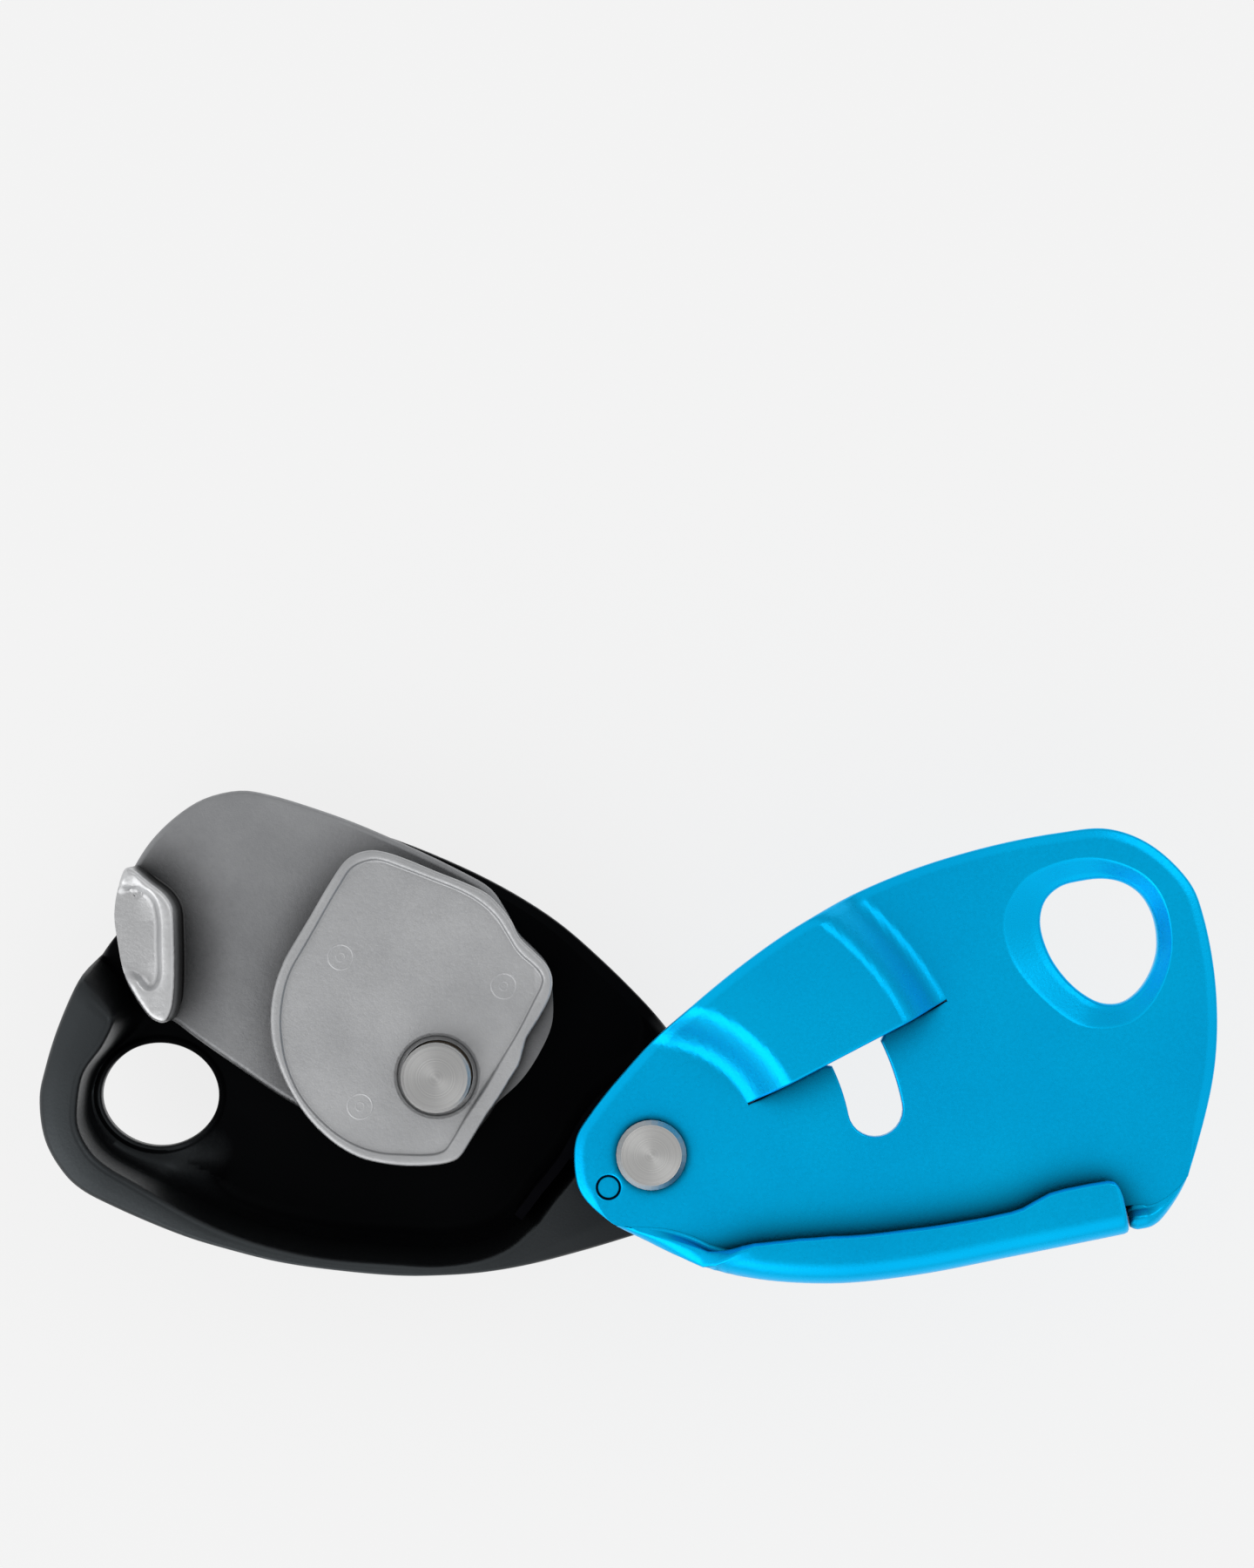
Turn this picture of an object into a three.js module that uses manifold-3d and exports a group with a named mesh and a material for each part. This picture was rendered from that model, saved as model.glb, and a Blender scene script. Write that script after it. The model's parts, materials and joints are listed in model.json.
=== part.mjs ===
// An assisted braking belay device for a single climbing rope, lying open on its back.
// Millimetres. The side plate's pivot is the centre of the drawing, and Z rises from the resting face.
import * as THREE from "three";
import { mergeVertices } from "three/addons/utils/BufferGeometryUtils.js";
import Module from "manifold-3d";

const wasm = await Module();
wasm.setup();

// Gaps and cuts
const clearance = 0.3;
const overrun = 1;
const weldDistance = 1e-4;
const roundSides = 32;

// Thicknesses, from the resting face up
const coverThickness = 2.4;
const leverThickness = 2.6;
const springRoom = 4.2;
const fixedThickness = 2.5;
const flangeThickness = 2.2;
const grooveWidth = 10.7;
const lipThickness = 1.8;
const movingThickness = 2.2;
const frictionThickness = 1.2;

const leverBack = coverThickness + clearance;
const leverFront = leverBack + leverThickness;
const fixedBack = leverFront + springRoom;
const fixedFront = fixedBack + fixedThickness;
const camBack = fixedFront + clearance;
const flangeFront = camBack + flangeThickness;
const lipBack = flangeFront + grooveWidth;
const camFront = lipBack + lipThickness;
const movingBack = camFront + clearance;
const movingFront = movingBack + movingThickness;
const rimFront = movingBack - frictionThickness - 2 * clearance;

// Plan of the device: distances from the pivot, and directions in degrees from the X axis
const carabinerDistance = 64.4;
const axleDistance = 29.3;
const fixedDirection = 172.8;
const openDirection = 25.6;
const axleDirection = 160.2;
const axleTurn = axleDirection - fixedDirection;

// Fixed side plate, a drawn tray: rows hold the outer edge, the inner edge of the rim and the rim's height,
// as shares of the plate's reach and of the depth of the tray. There is no rim where that share is under zero
const fixedReach = 79.6;
const wallThickness = 2;
const wallRun = 1.2;
const carabinerLong = 7.6;
const carabinerShort = 6.6;
const fixedRowShares = [
  [1, 0.038, 0.937, 0.031, 1],
  [0.982, 0.107, 0.926, 0.075, 1],
  [0.947, 0.158, 0.901, 0.112, 1],
  [0.913, 0.18, 0.873, 0.132, 1],
  [0.853, 0.201, 0.824, 0.153, 1],
  [0.735, 0.236, 0.717, 0.197, 1],
  [0.656, 0.249, 0.648, 0.217, 1],
  [0.578, 0.258, 0.575, 0.229, 1],
  [0.501, 0.26, 0.501, 0.234, 1],
  [0.384, 0.255, 0.387, 0.229, 1],
  [0.314, 0.247, 0.322, 0.224, 1],
  [0.244, 0.232, 0.259, 0.207, 1],
  [0.17, 0.209, 0.212, 0.181, 1],
  [0.097, 0.18, 0.178, 0.143, 1],
  [0.011, 0.141, 0.152, 0.098, 1],
  [-0.069, 0.101, 0.131, 0.065, 1],
  [-0.118, 0.058, 0.113, 0.033, 1],
  [-0.133, 0.003, 0.098, -0.006, 1],
  [-0.118, -0.055, 0.075, -0.05, 1],
  [-0.075, -0.116, 0.033, -0.095, 1],
  [-0.038, -0.158, -0.006, -0.133, 0.9],
  [0.008, -0.205, 0.023, -0.19, 0.15],
  [0.116, -0.291, 0.128, -0.275, -0.1],
  [0.216, -0.359, 0.225, -0.342, -0.1],
  [0.367, -0.42, 0.372, -0.401, -0.1],
  [0.567, -0.46, 0.565, -0.441, -0.1],
  [0.691, -0.445, 0.682, -0.428, -0.1],
  [0.785, -0.389, 0.771, -0.377, -0.1],
  [0.858, -0.314, 0.842, -0.304, -0.1],
  [0.911, -0.234, 0.896, -0.224, -0.8],
  [0.95, -0.166, 0.906, -0.133, 0.9],
  [0.981, -0.08, 0.916, -0.068, 1],
  [0.997, -0.011, 0.935, -0.01, 1],
];
const frictionRows = [13, 19];

// Moving side plate
const movingReach = 77;
const movingShares = [
  [-0.134, -0.008],
  [-0.127, 0.031],
  [-0.101, 0.079],
  [-0.06, 0.106],
  [0.006, 0.138],
  [0.105, 0.177],
  [0.279, 0.223],
  [0.419, 0.243],
  [0.574, 0.242],
  [0.717, 0.222],
  [0.844, 0.19],
  [0.922, 0.16],
  [0.974, 0.106],
  [1, 0.019],
  [1, -0.04],
  [0.969, -0.157],
  [0.908, -0.273],
  [0.812, -0.381],
  [0.753, -0.444],
  [0.708, -0.466],
  [0.66, -0.46],
  [0.47, -0.412],
  [0.31, -0.37],
  [0.178, -0.322],
  [0.051, -0.249],
  [-0.047, -0.16],
  [-0.114, -0.065],
];
const eggReach = 8.6;
const eggShares = [
  [-0.837, 0.116],
  [-0.756, 0.593],
  [-0.547, 0.86],
  [-0.256, 0.953],
  [0.07, 0.895],
  [0.384, 0.779],
  [0.628, 0.593],
  [0.779, 0.337],
  [0.814, 0.023],
  [0.744, -0.302],
  [0.593, -0.593],
  [0.337, -0.837],
  [0.058, -0.977],
  [-0.198, -1],
  [-0.442, -0.884],
  [-0.628, -0.651],
  [-0.767, -0.326],
];
const dishReach = 11.4;
const dishDepth = 2;
const dishShares = [
  [-0.842, 0.088],
  [-0.789, 0.553],
  [-0.632, 0.825],
  [-0.386, 0.982],
  [-0.035, 0.974],
  [0.342, 0.833],
  [0.667, 0.553],
  [0.789, 0.158],
  [0.728, -0.228],
  [0.544, -0.579],
  [0.219, -0.877],
  [-0.114, -1],
  [-0.439, -0.93],
  [-0.684, -0.684],
  [-0.825, -0.333],
];
const sheetInset = 0.2;
const sheetLap = 0.8;

// Raised bridge and slot that let the axle's head pass, as rings about the pivot
const bridgeRadii = [14.7, 19.2, 36.6, 41.9];
const bridgeWall = 0.8;
const bridgeCutTurn = 2;
const bridgeEndTurn = 64;
const bridgeSteps = 9;
const slotHalfWidth = 3.5;

// Rolled lip along the lower edge of the moving side plate: stations run between two rows of its outline,
// and the shares give how far the lip is rolled over and how wide it is there
const lipRadius = 3;
const lipWidth = 7;
const lipRows = [20, 25];
const lipRollShares = [1, 1, 1, 1, 0.78, 0.12];
const lipWidthShares = [1, 0.8, 0.9, 0.9, 0.75, 0.6];
const lipArcSteps = 7;
const lipStationSteps = 4;

// Pivot rivet, its bush and the pressed stop beside it
const rivetRadius = 2.7;
const rivetHeadRadius = 4.5;
const rivetHeadHeight = 1.2;
const rivetTailRadius = 4.2;
const rivetTailHeight = 1.6;
const bushWall = 0.7;
const stopRadius = 1.5;
const stopHeight = 0.7;
const stopDistance = 6.9;
const stopDirection = 191.8;
const earRadius = 5.1;

// Cam, as shares of the core's height and of the flange's reach from the axle
const coreReach = 29;
const camLipShares = [
  [-0.293, 1],
  [-0.228, 0.993],
  [-0.086, 0.934],
  [0.076, 0.872],
  [0.172, 0.834],
  [0.245, 0.803],
  [0.303, 0.728],
  [0.359, 0.624],
  [0.431, 0.559],
  [0.486, 0.5],
  [0.51, 0.434],
  [0.49, 0.334],
  [0.421, 0.224],
  [0.372, 0.097],
  [0.331, -0.007],
  [0.269, -0.097],
  [0.217, -0.207],
  [0.1, -0.352],
  [0.038, -0.383],
  [-0.09, -0.403],
  [-0.221, -0.4],
  [-0.348, -0.359],
  [-0.476, -0.283],
  [-0.631, -0.176],
  [-0.672, -0.1],
  [-0.714, 0.007],
  [-0.738, 0.128],
  [-0.745, 0.255],
  [-0.728, 0.386],
  [-0.697, 0.483],
  [-0.631, 0.59],
  [-0.566, 0.71],
  [-0.469, 0.872],
  [-0.414, 0.948],
  [-0.355, 0.99],
];
const coreShares = [
  [-0.293, 0.897],
  [-0.172, 0.907],
  [0.017, 0.834],
  [0.121, 0.779],
  [0.207, 0.734],
  [0.283, 0.655],
  [0.352, 0.579],
  [0.431, 0.517],
  [0.479, 0.434],
  [0.497, 0.324],
  [0.49, 0.224],
  [0.438, 0.107],
  [0.359, -0.01],
  [0.241, -0.121],
  [0.131, -0.241],
  [0.045, -0.303],
  [-0.09, -0.317],
  [-0.207, -0.31],
  [-0.317, -0.276],
  [-0.441, -0.2],
  [-0.562, -0.11],
  [-0.607, -0.034],
  [-0.641, 0.069],
  [-0.655, 0.166],
  [-0.655, 0.269],
  [-0.638, 0.379],
  [-0.607, 0.466],
  [-0.552, 0.552],
  [-0.486, 0.669],
  [-0.397, 0.821],
];
const flangeReach = 41.8;
const flangeShares = [
  [-0.959, 0.641],
  [-0.986, 0.584],
  [-1, 0.498],
  [-0.99, 0.411],
  [-0.969, 0.311],
  [-0.928, 0.23],
  [-0.88, 0.172],
  [-0.842, 0.158],
  [-0.763, 0.1],
  [-0.634, 0.01],
  [-0.514, -0.072],
  [-0.419, -0.129],
  [-0.33, -0.189],
  [-0.242, -0.242],
  [-0.153, -0.268],
  [-0.062, -0.27],
  [0.026, -0.256],
  [0.072, -0.23],
  [0.151, -0.144],
  [0.201, -0.062],
  [0.263, -0.005],
  [0.309, 0.074],
  [0.344, 0.156],
  [0.349, 0.225],
  [0.347, 0.301],
  [0.33, 0.342],
  [0.294, 0.383],
  [0.244, 0.433],
  [0.206, 0.502],
  [0.158, 0.569],
  [0.06, 0.627],
  [-0.23, 0.761],
  [-0.383, 0.818],
  [-0.543, 0.866],
  [-0.629, 0.878],
  [-0.742, 0.852],
  [-0.833, 0.794],
  [-0.909, 0.718],
];
const noseHeight = 10.4;
const noseDraft = 1.2;
const noseDishDepth = 1.5;
const noseShares = [
  [-0.959, 0.641],
  [-0.986, 0.584],
  [-1, 0.498],
  [-0.99, 0.411],
  [-0.969, 0.311],
  [-0.928, 0.23],
  [-0.88, 0.172],
  [-0.842, 0.163],
  [-0.821, 0.196],
  [-0.811, 0.258],
  [-0.811, 0.447],
  [-0.821, 0.505],
  [-0.847, 0.545],
];
const noseDishShares = [
  [-0.972, 0.565],
  [-0.966, 0.333],
  [-0.9, 0.249],
  [-0.859, 0.263],
  [-0.854, 0.455],
  [-0.868, 0.507],
  [-0.923, 0.548],
];
const faceRim = 1.4;
const faceRecess = 0.5;
const moatRadius = 5.1;
const moatDepth = 3.5;

// Cam axle, its collar, retaining ring and bushes
const axleRadius = 3.1;
const axleHeadRadius = 4.5;
const axleHeadHeight = 2;
const axleHeadChamfer = 0.4;
const axleShoulderRadius = 5;
const axleShoulderHeight = 1;
const collarThickness = 1;
const camBushWall = 1;
const leverBushWall = 0.9;
const retainerThickness = 0.7;
const retainerPlay = 0.3;
const retainerDepth = 0.6;
const retainerWidth = 2.2;
const axleHeadBack = movingFront + clearance;
const axleHeadFront = axleHeadBack + axleHeadHeight;
const bridgeRise = axleHeadFront + clearance - movingBack;

// Drive pin from the cam to the lever, and the cam's return spring
const drivePinRadius = 1.5;
const drivePinDistance = 9.8;
const drivePinDirection = 200;
const drivePinDepth = 5.7;
const camTravel = 20;
const slotMargin = 4;
const wireRadius = 0.5;
const springTurns = 1.75;
const springStepsPerTurn = 12;
const wireSides = 6;
const springLegReach = 11.3;
const springClearance = 0.5;
const anchorRadius = 1.2;
const anchorDistance = 10.4;

// Release lever and its hub cover
const hubBossRadius = 5.9;
const leverHubRadius = 12;
const leverLength = 21.9;
const leverDirection = -39.6;
const leverWidth = 9;
const leverEndRadius = 5;
const coverRadius = 12.2;
const coverFloor = 0.8;
const coverPocketRadius = 6.5;
const coverScrewDistance = 9.3;
const coverScrewDirections = [75, 290];
const coverScrewRadius = 1;
const coverScrewHeadRadius = 1.9;
const coverScrewHeadHeight = 0.9;
const coverScrewSink = 0.3;

// Folding grip: two shells about the end of the lever
const gripReach = 44.6;
const gripHeight = 9.2;
const gripBevel = 1.4;
const gripPocketRadius = 14;
const gripCavityWall = 2.2;
const gripCavityRadius = 3;
const gripShares = [
  [-1, -0.054],
  [-0.973, -0.121],
  [-0.841, -0.188],
  [-0.594, -0.229],
  [-0.37, -0.238],
  [-0.179, -0.215],
  [0, -0.157],
  [0.108, -0.112],
  [0.157, 0],
  [0.11, 0.11],
  [0, 0.157],
  [-0.103, 0.112],
  [-0.213, 0.045],
  [-0.37, 0.022],
  [-0.583, 0.031],
  [-0.762, 0.054],
  [-0.908, 0.04],
  [-0.982, 0],
];
const gripCavityShares = [
  [-0.54, -0.098],
  [-0.76, -0.07],
];
const gripScrewShares = [
  [-0.42, -0.106],
  [-0.885, -0.062],
];
const gripPinRadius = 2;
const gripPinHeadRadius = 3.1;
const gripPinHeadHeight = 1;
const gripPinSink = 0.4;
const gripScrewRadius = 1.25;
const gripScrewHeadRadius = 2.3;
const gripScrewHeadHeight = 1.4;
const gripScrewSink = 0.4;
const gripScrewEnd = 7.6;

// Mode selector: a knob on a shaft through the fixed side plate, with a button that locks it
const selectorDistance = 23;
const selectorDirection = 132;
const knobRadius = 7.5;
const knobBack = 1.5;
const knobScallops = 12;
const knobScallopShare = 0.05;
const knobChamfer = 0.8;
const selectorShaftRadius = 2.2;
const selectorHeadRadius = 3.4;
const selectorHeadHeight = 1;
const selectorShaftBack = 4.2;
const buttonRadius = 1.6;
const buttonDistance = 4.75;
const buttonBack = 0.7;
const buttonHeight = 3.6;
const buttonRoom = 2.2;
const buttonWireRadius = 0.2;
const buttonSpringTurns = 2;
const pointerHalfWidth = 0.6;
const pointerDepth = 0.6;

// Plain drawing helpers

function polar(distance, degrees) {
  const angle = THREE.MathUtils.degToRad(degrees);
  return [distance * Math.cos(angle), distance * Math.sin(angle)];
}

function turned(points, degrees) {
  const angle = THREE.MathUtils.degToRad(degrees);
  const cos = Math.cos(angle);
  const sin = Math.sin(angle);
  return points.map(([x, y, ...rest]) => [x * cos - y * sin, x * sin + y * cos, ...rest]);
}

function moved(points, [dx, dy]) {
  return points.map(([x, y, ...rest]) => [x + dx, y + dy, ...rest]);
}

function scaled(shares, size) {
  return shares.map(([x, y]) => [x * size, y * size]);
}

// A smooth closed line through the points, with the given steps between each two.
function smooth(points, steps) {
  const knots = points.map(([x, y, z = 0]) => new THREE.Vector3(x, y, z));
  const curve = new THREE.CatmullRomCurve3(knots, true, "centripetal");
  const line = curve.getPoints(points.length * steps);
  line.pop();
  return line.map((p) => [p.x, p.y, p.z]);
}

// The same line cut into equal lengths.
function evenly(points, count) {
  const knots = points.map(([x, y]) => new THREE.Vector3(x, y, 0));
  const curve = new THREE.CatmullRomCurve3(knots, true, "centripetal");
  const line = curve.getSpacedPoints(count);
  line.pop();
  return line.map((p) => [p.x, p.y]);
}

// Each point's unit direction to the left of the line, which is inwards on a line that runs anticlockwise.
function leftward(points, closed) {
  const last = points.length - 1;
  return points.map((point, i) => {
    const before = points[i > 0 ? i - 1 : closed ? last : 0];
    const after = points[i < last ? i + 1 : closed ? 0 : last];
    const length = Math.hypot(after[0] - before[0], after[1] - before[1]);
    return [-(after[1] - before[1]) / length, (after[0] - before[0]) / length];
  });
}

function shifted(points, distance, closed = true) {
  const sides = leftward(points, closed);
  return points.map(([x, y], i) => [x + sides[i][0] * distance, y + sides[i][1] * distance]);
}

function circle([x, y], radius, sides = roundSides) {
  return Array.from({ length: sides }, (_, i) => {
    const [dx, dy] = polar(radius, (i * 360) / sides);
    return [x + dx, y + dy];
  });
}

function ellipse([x, y], long, short, degrees, sides = roundSides) {
  const flat = circle([0, 0], 1, sides).map(([a, b]) => [a * long, b * short]);
  return moved(turned(flat, degrees), [x, y]);
}

// A band between two radii about a centre, from one direction to another.
function band(centre, inner, outer, from, to, steps = 12) {
  const turns = Array.from({ length: steps + 1 }, (_, i) => from + ((to - from) * i) / steps);
  const outside = turns.map((turn) => polar(outer, turn));
  const inside = turns.map((turn) => polar(inner, turn)).reverse();
  return moved([...outside, ...inside], centre);
}

// A long hole with round ends, bent about a centre.
function bentSlot(centre, distance, halfWidth, from, to, low, high) {
  const between = prism(band(centre, distance - halfWidth, distance + halfWidth, from, to), low, high);
  const ends = [from, to].map((turn) => prism(circle(sum(centre, polar(distance, turn)), halfWidth), low, high));
  return between.add(ends[0]).add(ends[1]);
}

function sum(a, b) {
  return [a[0] + b[0], a[1] + b[1]];
}

// Solids

function solidOf(vertices, triangles) {
  const whole = new wasm.Manifold(new wasm.Mesh({ numProp: 3, vertProperties: vertices, triVerts: triangles }));
  if (whole.volume() > 0) return whole;
  const back = triangles.slice().reverse();
  return new wasm.Manifold(new wasm.Mesh({ numProp: 3, vertProperties: vertices, triVerts: back }));
}

function solid(geometry) {
  const bare = geometry.clone();
  bare.deleteAttribute("normal");
  bare.deleteAttribute("uv");
  const merged = mergeVertices(bare, weldDistance);
  return solidOf(new Float32Array(merged.attributes.position.array), new Uint32Array(merged.index.array));
}

function prism(outline, low, high) {
  const shape = new THREE.Shape(outline.map(([x, y]) => new THREE.Vector2(x, y)));
  const geometry = new THREE.ExtrudeGeometry(shape, { depth: high - low, bevelEnabled: false });
  geometry.translate(0, 0, low);
  return solid(geometry);
}

// A prism with both edges rounded off inside the outline.
function softPrism(outline, low, high, bevel) {
  const shape = new THREE.Shape(outline.map(([x, y]) => new THREE.Vector2(x, y)));
  const geometry = new THREE.ExtrudeGeometry(shape, {
    depth: high - low - 2 * bevel,
    bevelSize: bevel,
    bevelThickness: bevel,
    bevelOffset: -bevel,
    bevelSegments: 2,
  });
  geometry.translate(0, 0, low + bevel);
  return solid(geometry);
}

function disc(centre, radius, low, high, sides = roundSides) {
  return prism(circle(centre, radius, sides), low, high);
}

// A turned piece: its profile runs from the axis outwards and back, as radius and height.
function spun(profile, sides = roundSides) {
  const points = profile.map(([radius, height]) => new THREE.Vector2(radius, height));
  const geometry = new THREE.LatheGeometry(points, sides);
  geometry.rotateX(Math.PI / 2);
  return solid(geometry);
}

function tube(inner, outer, low, high, sides = roundSides) {
  return spun([[inner, low], [outer, low], [outer, high], [inner, high], [inner, low]], sides);
}

// A skin over matching loops of points. It is closed at both ends by the flat outlines, or joined to itself.
function lofted(loops, ends) {
  const count = loops[0].length;
  const triangles = [];
  const bands = ends ? loops.length - 1 : loops.length;
  for (let k = 0; k < bands; k += 1) {
    const near = k * count;
    const far = ((k + 1) % loops.length) * count;
    for (let i = 0; i < count; i += 1) {
      const j = (i + 1) % count;
      triangles.push(near + i, near + j, far + j, near + i, far + j, far + i);
    }
  }
  if (ends) {
    const flats = ends.map((end) => end.map(([x, y]) => new THREE.Vector2(x, y)));
    const top = (loops.length - 1) * count;
    const facing = (flat, [a, b, c], along) => (along === THREE.ShapeUtils.isClockWise(flat) ? [c, b, a] : [a, b, c]);
    THREE.ShapeUtils.triangulateShape(flats[0], []).forEach((face) => triangles.push(...facing(flats[0], face, false)));
    THREE.ShapeUtils.triangulateShape(flats[1], []).forEach((face) =>
      triangles.push(...facing(flats[1], face, true).map((i) => top + i)),
    );
  }
  return solidOf(new Float32Array(loops.flat(2)), new Uint32Array(triangles));
}

function atHeight(points, height) {
  return points.map(([x, y]) => [x, y, height]);
}

// A round wire along a line of points.
function wire(points, radius, steps) {
  const curve = new THREE.CatmullRomCurve3(points.map((p) => new THREE.Vector3(...p)));
  const section = new THREE.Shape(circle([0, 0], radius, wireSides).map(([x, y]) => new THREE.Vector2(x, y)));
  return solid(new THREE.ExtrudeGeometry(section, { steps, extrudePath: curve }));
}

// Materials

function metal(name, color, roughness) {
  return new THREE.MeshStandardMaterial({ name, color, roughness, metalness: 1 });
}

function plastic(name, color, roughness) {
  return new THREE.MeshStandardMaterial({ name, color, roughness, metalness: 0 });
}

const blueAluminium = metal("blue anodised aluminium", 0x00a0d7, 0.35);
const blackAluminium = metal("black anodised aluminium", 0x1c1c1e, 0.45);
const castSteel = metal("cast stainless steel", 0x9a9a9a, 0.5);
const turnedSteel = metal("turned stainless steel", 0xb8b6b2, 0.3);
const springSteel = metal("spring steel", 0x8c8c8c, 0.35);
const bronze = metal("bearing bronze", 0xa9824c, 0.45);
const blackNylon = plastic("black reinforced nylon", 0x18181a, 0.6);
const greyNylon = plastic("grey acetal", 0x5d6064, 0.5);

function piece(name, made, material) {
  const mesh = made.getMesh();
  const geometry = new THREE.BufferGeometry();
  geometry.setAttribute("position", new THREE.BufferAttribute(new Float32Array(mesh.vertProperties), 3));
  geometry.setIndex(new THREE.BufferAttribute(new Uint32Array(mesh.triVerts), 1));
  geometry.computeVertexNormals();
  const named = new THREE.Mesh(geometry, material);
  named.name = name;
  return named;
}

const pivot = [0, 0];
const axle = polar(axleDistance, axleDirection);
const fixedCarabiner = polar(carabinerDistance, fixedDirection);
const drivePin = polar(drivePinDistance, drivePinDirection);
const selector = sum(axle, polar(selectorDistance, selectorDirection));
const gripPin = sum(axle, polar(leverLength, leverDirection));

// Fixed side plate

const fixedOuter = turned(smooth(fixedRowShares.map(([u, v, , , h]) => [u * fixedReach, v * fixedReach, h]), 2), fixedDirection);
const fixedInner = turned(smooth(fixedRowShares.map(([, , u, v, h]) => [u * fixedReach, v * fixedReach, h]), 2), fixedDirection);

// Where the spring's anchor stands, just clear of the spring's leg.
const springStart = drivePinDirection - turnFor(drivePinRadius + wireRadius + springClearance, drivePinDistance);
const springEnd = springStart + springTurns * 360;
const anchorDirection = springEnd - turnFor(anchorRadius + wireRadius + springClearance, anchorDistance);

function turnFor(width, distance) {
  return THREE.MathUtils.radToDeg(Math.asin(width / distance));
}

function fixedSidePlate() {
  const depth = rimFront - fixedFront;
  const rimAt = fixedInner.map(([, , h]) => fixedFront + depth * Math.min(1, Math.max(0, h)));
  const under = fixedInner.map(([x, y], i) => {
    const [ox, oy] = fixedOuter[i];
    const share = Math.min(0.85, wallThickness / Math.hypot(ox - x, oy - y));
    return [x + (ox - x) * share, y + (oy - y) * share];
  });
  const run = fixedInner.map(([, , h]) => wallRun * Math.min(1, Math.max(0, h)));
  const innerSides = leftward(fixedInner, true);
  const footOf = (line) => line.map(([x, y], i) => [x + innerSides[i][0] * run[i], y + innerSides[i][1] * run[i]]);
  const level = (line, drop) => line.map(([x, y], i) => [x, y, rimAt[i] - drop]);
  const footFront = footOf(fixedInner);
  const footBack = footOf(under);
  const tray = lofted(
    [
      atHeight(footBack, fixedBack),
      level(under, fixedThickness),
      level(fixedOuter, fixedThickness),
      level(fixedOuter, 0),
      level(fixedInner, 0),
      atHeight(footFront, fixedFront),
    ],
    [footBack, footFront],
  );
  const low = fixedBack - overrun;
  const high = rimFront + overrun;
  const from = drivePinDirection - camTravel - slotMargin;
  const to = drivePinDirection + slotMargin;
  const pinRoom = drivePinRadius + clearance;
  const headRoom = fixedFront - selectorHeadHeight - clearance;
  return [
    prism(ellipse(fixedCarabiner, carabinerLong, carabinerShort, fixedDirection), low, high),
    disc(pivot, rivetRadius + clearance, low, high),
    disc(axle, axleRadius + clearance, low, high),
    bentSlot(axle, drivePinDistance, pinRoom, from, to, low, high),
    disc(sum(axle, polar(anchorDistance, anchorDirection)), anchorRadius + clearance, low, high),
    disc(selector, selectorShaftRadius + clearance, low, high),
    disc(selector, selectorHeadRadius + clearance, headRoom, high),
  ].reduce((plate, cut) => plate.subtract(cut), tray);
}

// Friction plate: a steel band along the wall that the cam pinches the rope against, with an ear on the pivot

function frictionPlate() {
  const stretch = fixedInner.slice(frictionRows[0] * 2, frictionRows[1] * 2 + 1);
  const back = shifted(stretch, wallRun + clearance, false);
  const front = shifted(stretch, wallRun + clearance + frictionThickness, false);
  const earBack = rimFront + clearance;
  const earFront = earBack + frictionThickness;
  const wall = prism([...back, ...front.slice().reverse()], camBack, earFront);
  const inner = back.slice(6, 11);
  const sides = [polar(earRadius, fixedDirection + 30), polar(earRadius, fixedDirection - 95)];
  const ear = prism([...inner, sides[1], pivot, sides[0]], earBack, earFront);
  const eye = disc(pivot, earRadius, earBack, earFront);
  const hole = disc(pivot, rivetRadius + clearance, earBack - overrun, earFront + overrun);
  return wall.add(ear).add(eye).subtract(hole);
}

// Moving side plate, drawn with the carabiner hole on its own X axis

const movingOutline = smooth(scaled(movingShares, movingReach), 2);
const eggOutline = moved(evenly(scaled(eggShares, eggReach), 36), [carabinerDistance, 0]);
const dishOutline = moved(evenly(scaled(dishShares, dishReach), 36), [carabinerDistance, 0]);

function movingDish() {
  const wide = shifted(dishOutline, sheetLap);
  const throat = dishOutline.map(([x, y], i) => [(x + 2 * eggOutline[i][0]) / 3, (y + 2 * eggOutline[i][1]) / 3]);
  const front = movingFront - sheetInset;
  const back = movingBack + sheetInset;
  return lofted([
    atHeight(wide, front),
    atHeight(dishOutline, front),
    atHeight(throat, movingFront - 0.7 * dishDepth),
    atHeight(eggOutline, movingFront - dishDepth),
    atHeight(eggOutline, movingBack - dishDepth),
    atHeight(throat, movingBack - 0.7 * dishDepth),
    atHeight(dishOutline, back),
    atHeight(wide, back),
  ]);
}

function movingBridge() {
  const [r0, r1, r2, r3] = bridgeRadii;
  const front = movingFront - sheetInset;
  const back = movingBack + sheetInset;
  const section = [
    [r0 - sheetLap, back],
    [r0 + bridgeWall, back],
    [r1 + bridgeWall, movingBack + bridgeRise],
    [r2 - bridgeWall, movingBack + bridgeRise],
    [r3 - bridgeWall, back],
    [r3 + sheetLap, back],
    [r3 + sheetLap, front],
    [r3, front],
    [r2, movingFront + bridgeRise],
    [r1, movingFront + bridgeRise],
    [r0, front],
    [r0 - sheetLap, front],
  ];
  const loops = Array.from({ length: bridgeSteps + 1 }, (_, i) => {
    const turn = bridgeCutTurn + ((bridgeEndTurn - bridgeCutTurn) * i) / bridgeSteps;
    return section.map(([radius, height]) => [...polar(radius, turn), height]);
  });
  const whole = lofted(loops, [section, section]);
  return whole.intersect(prism(movingOutline, movingBack, movingFront + bridgeRise + overrun));
}

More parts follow.
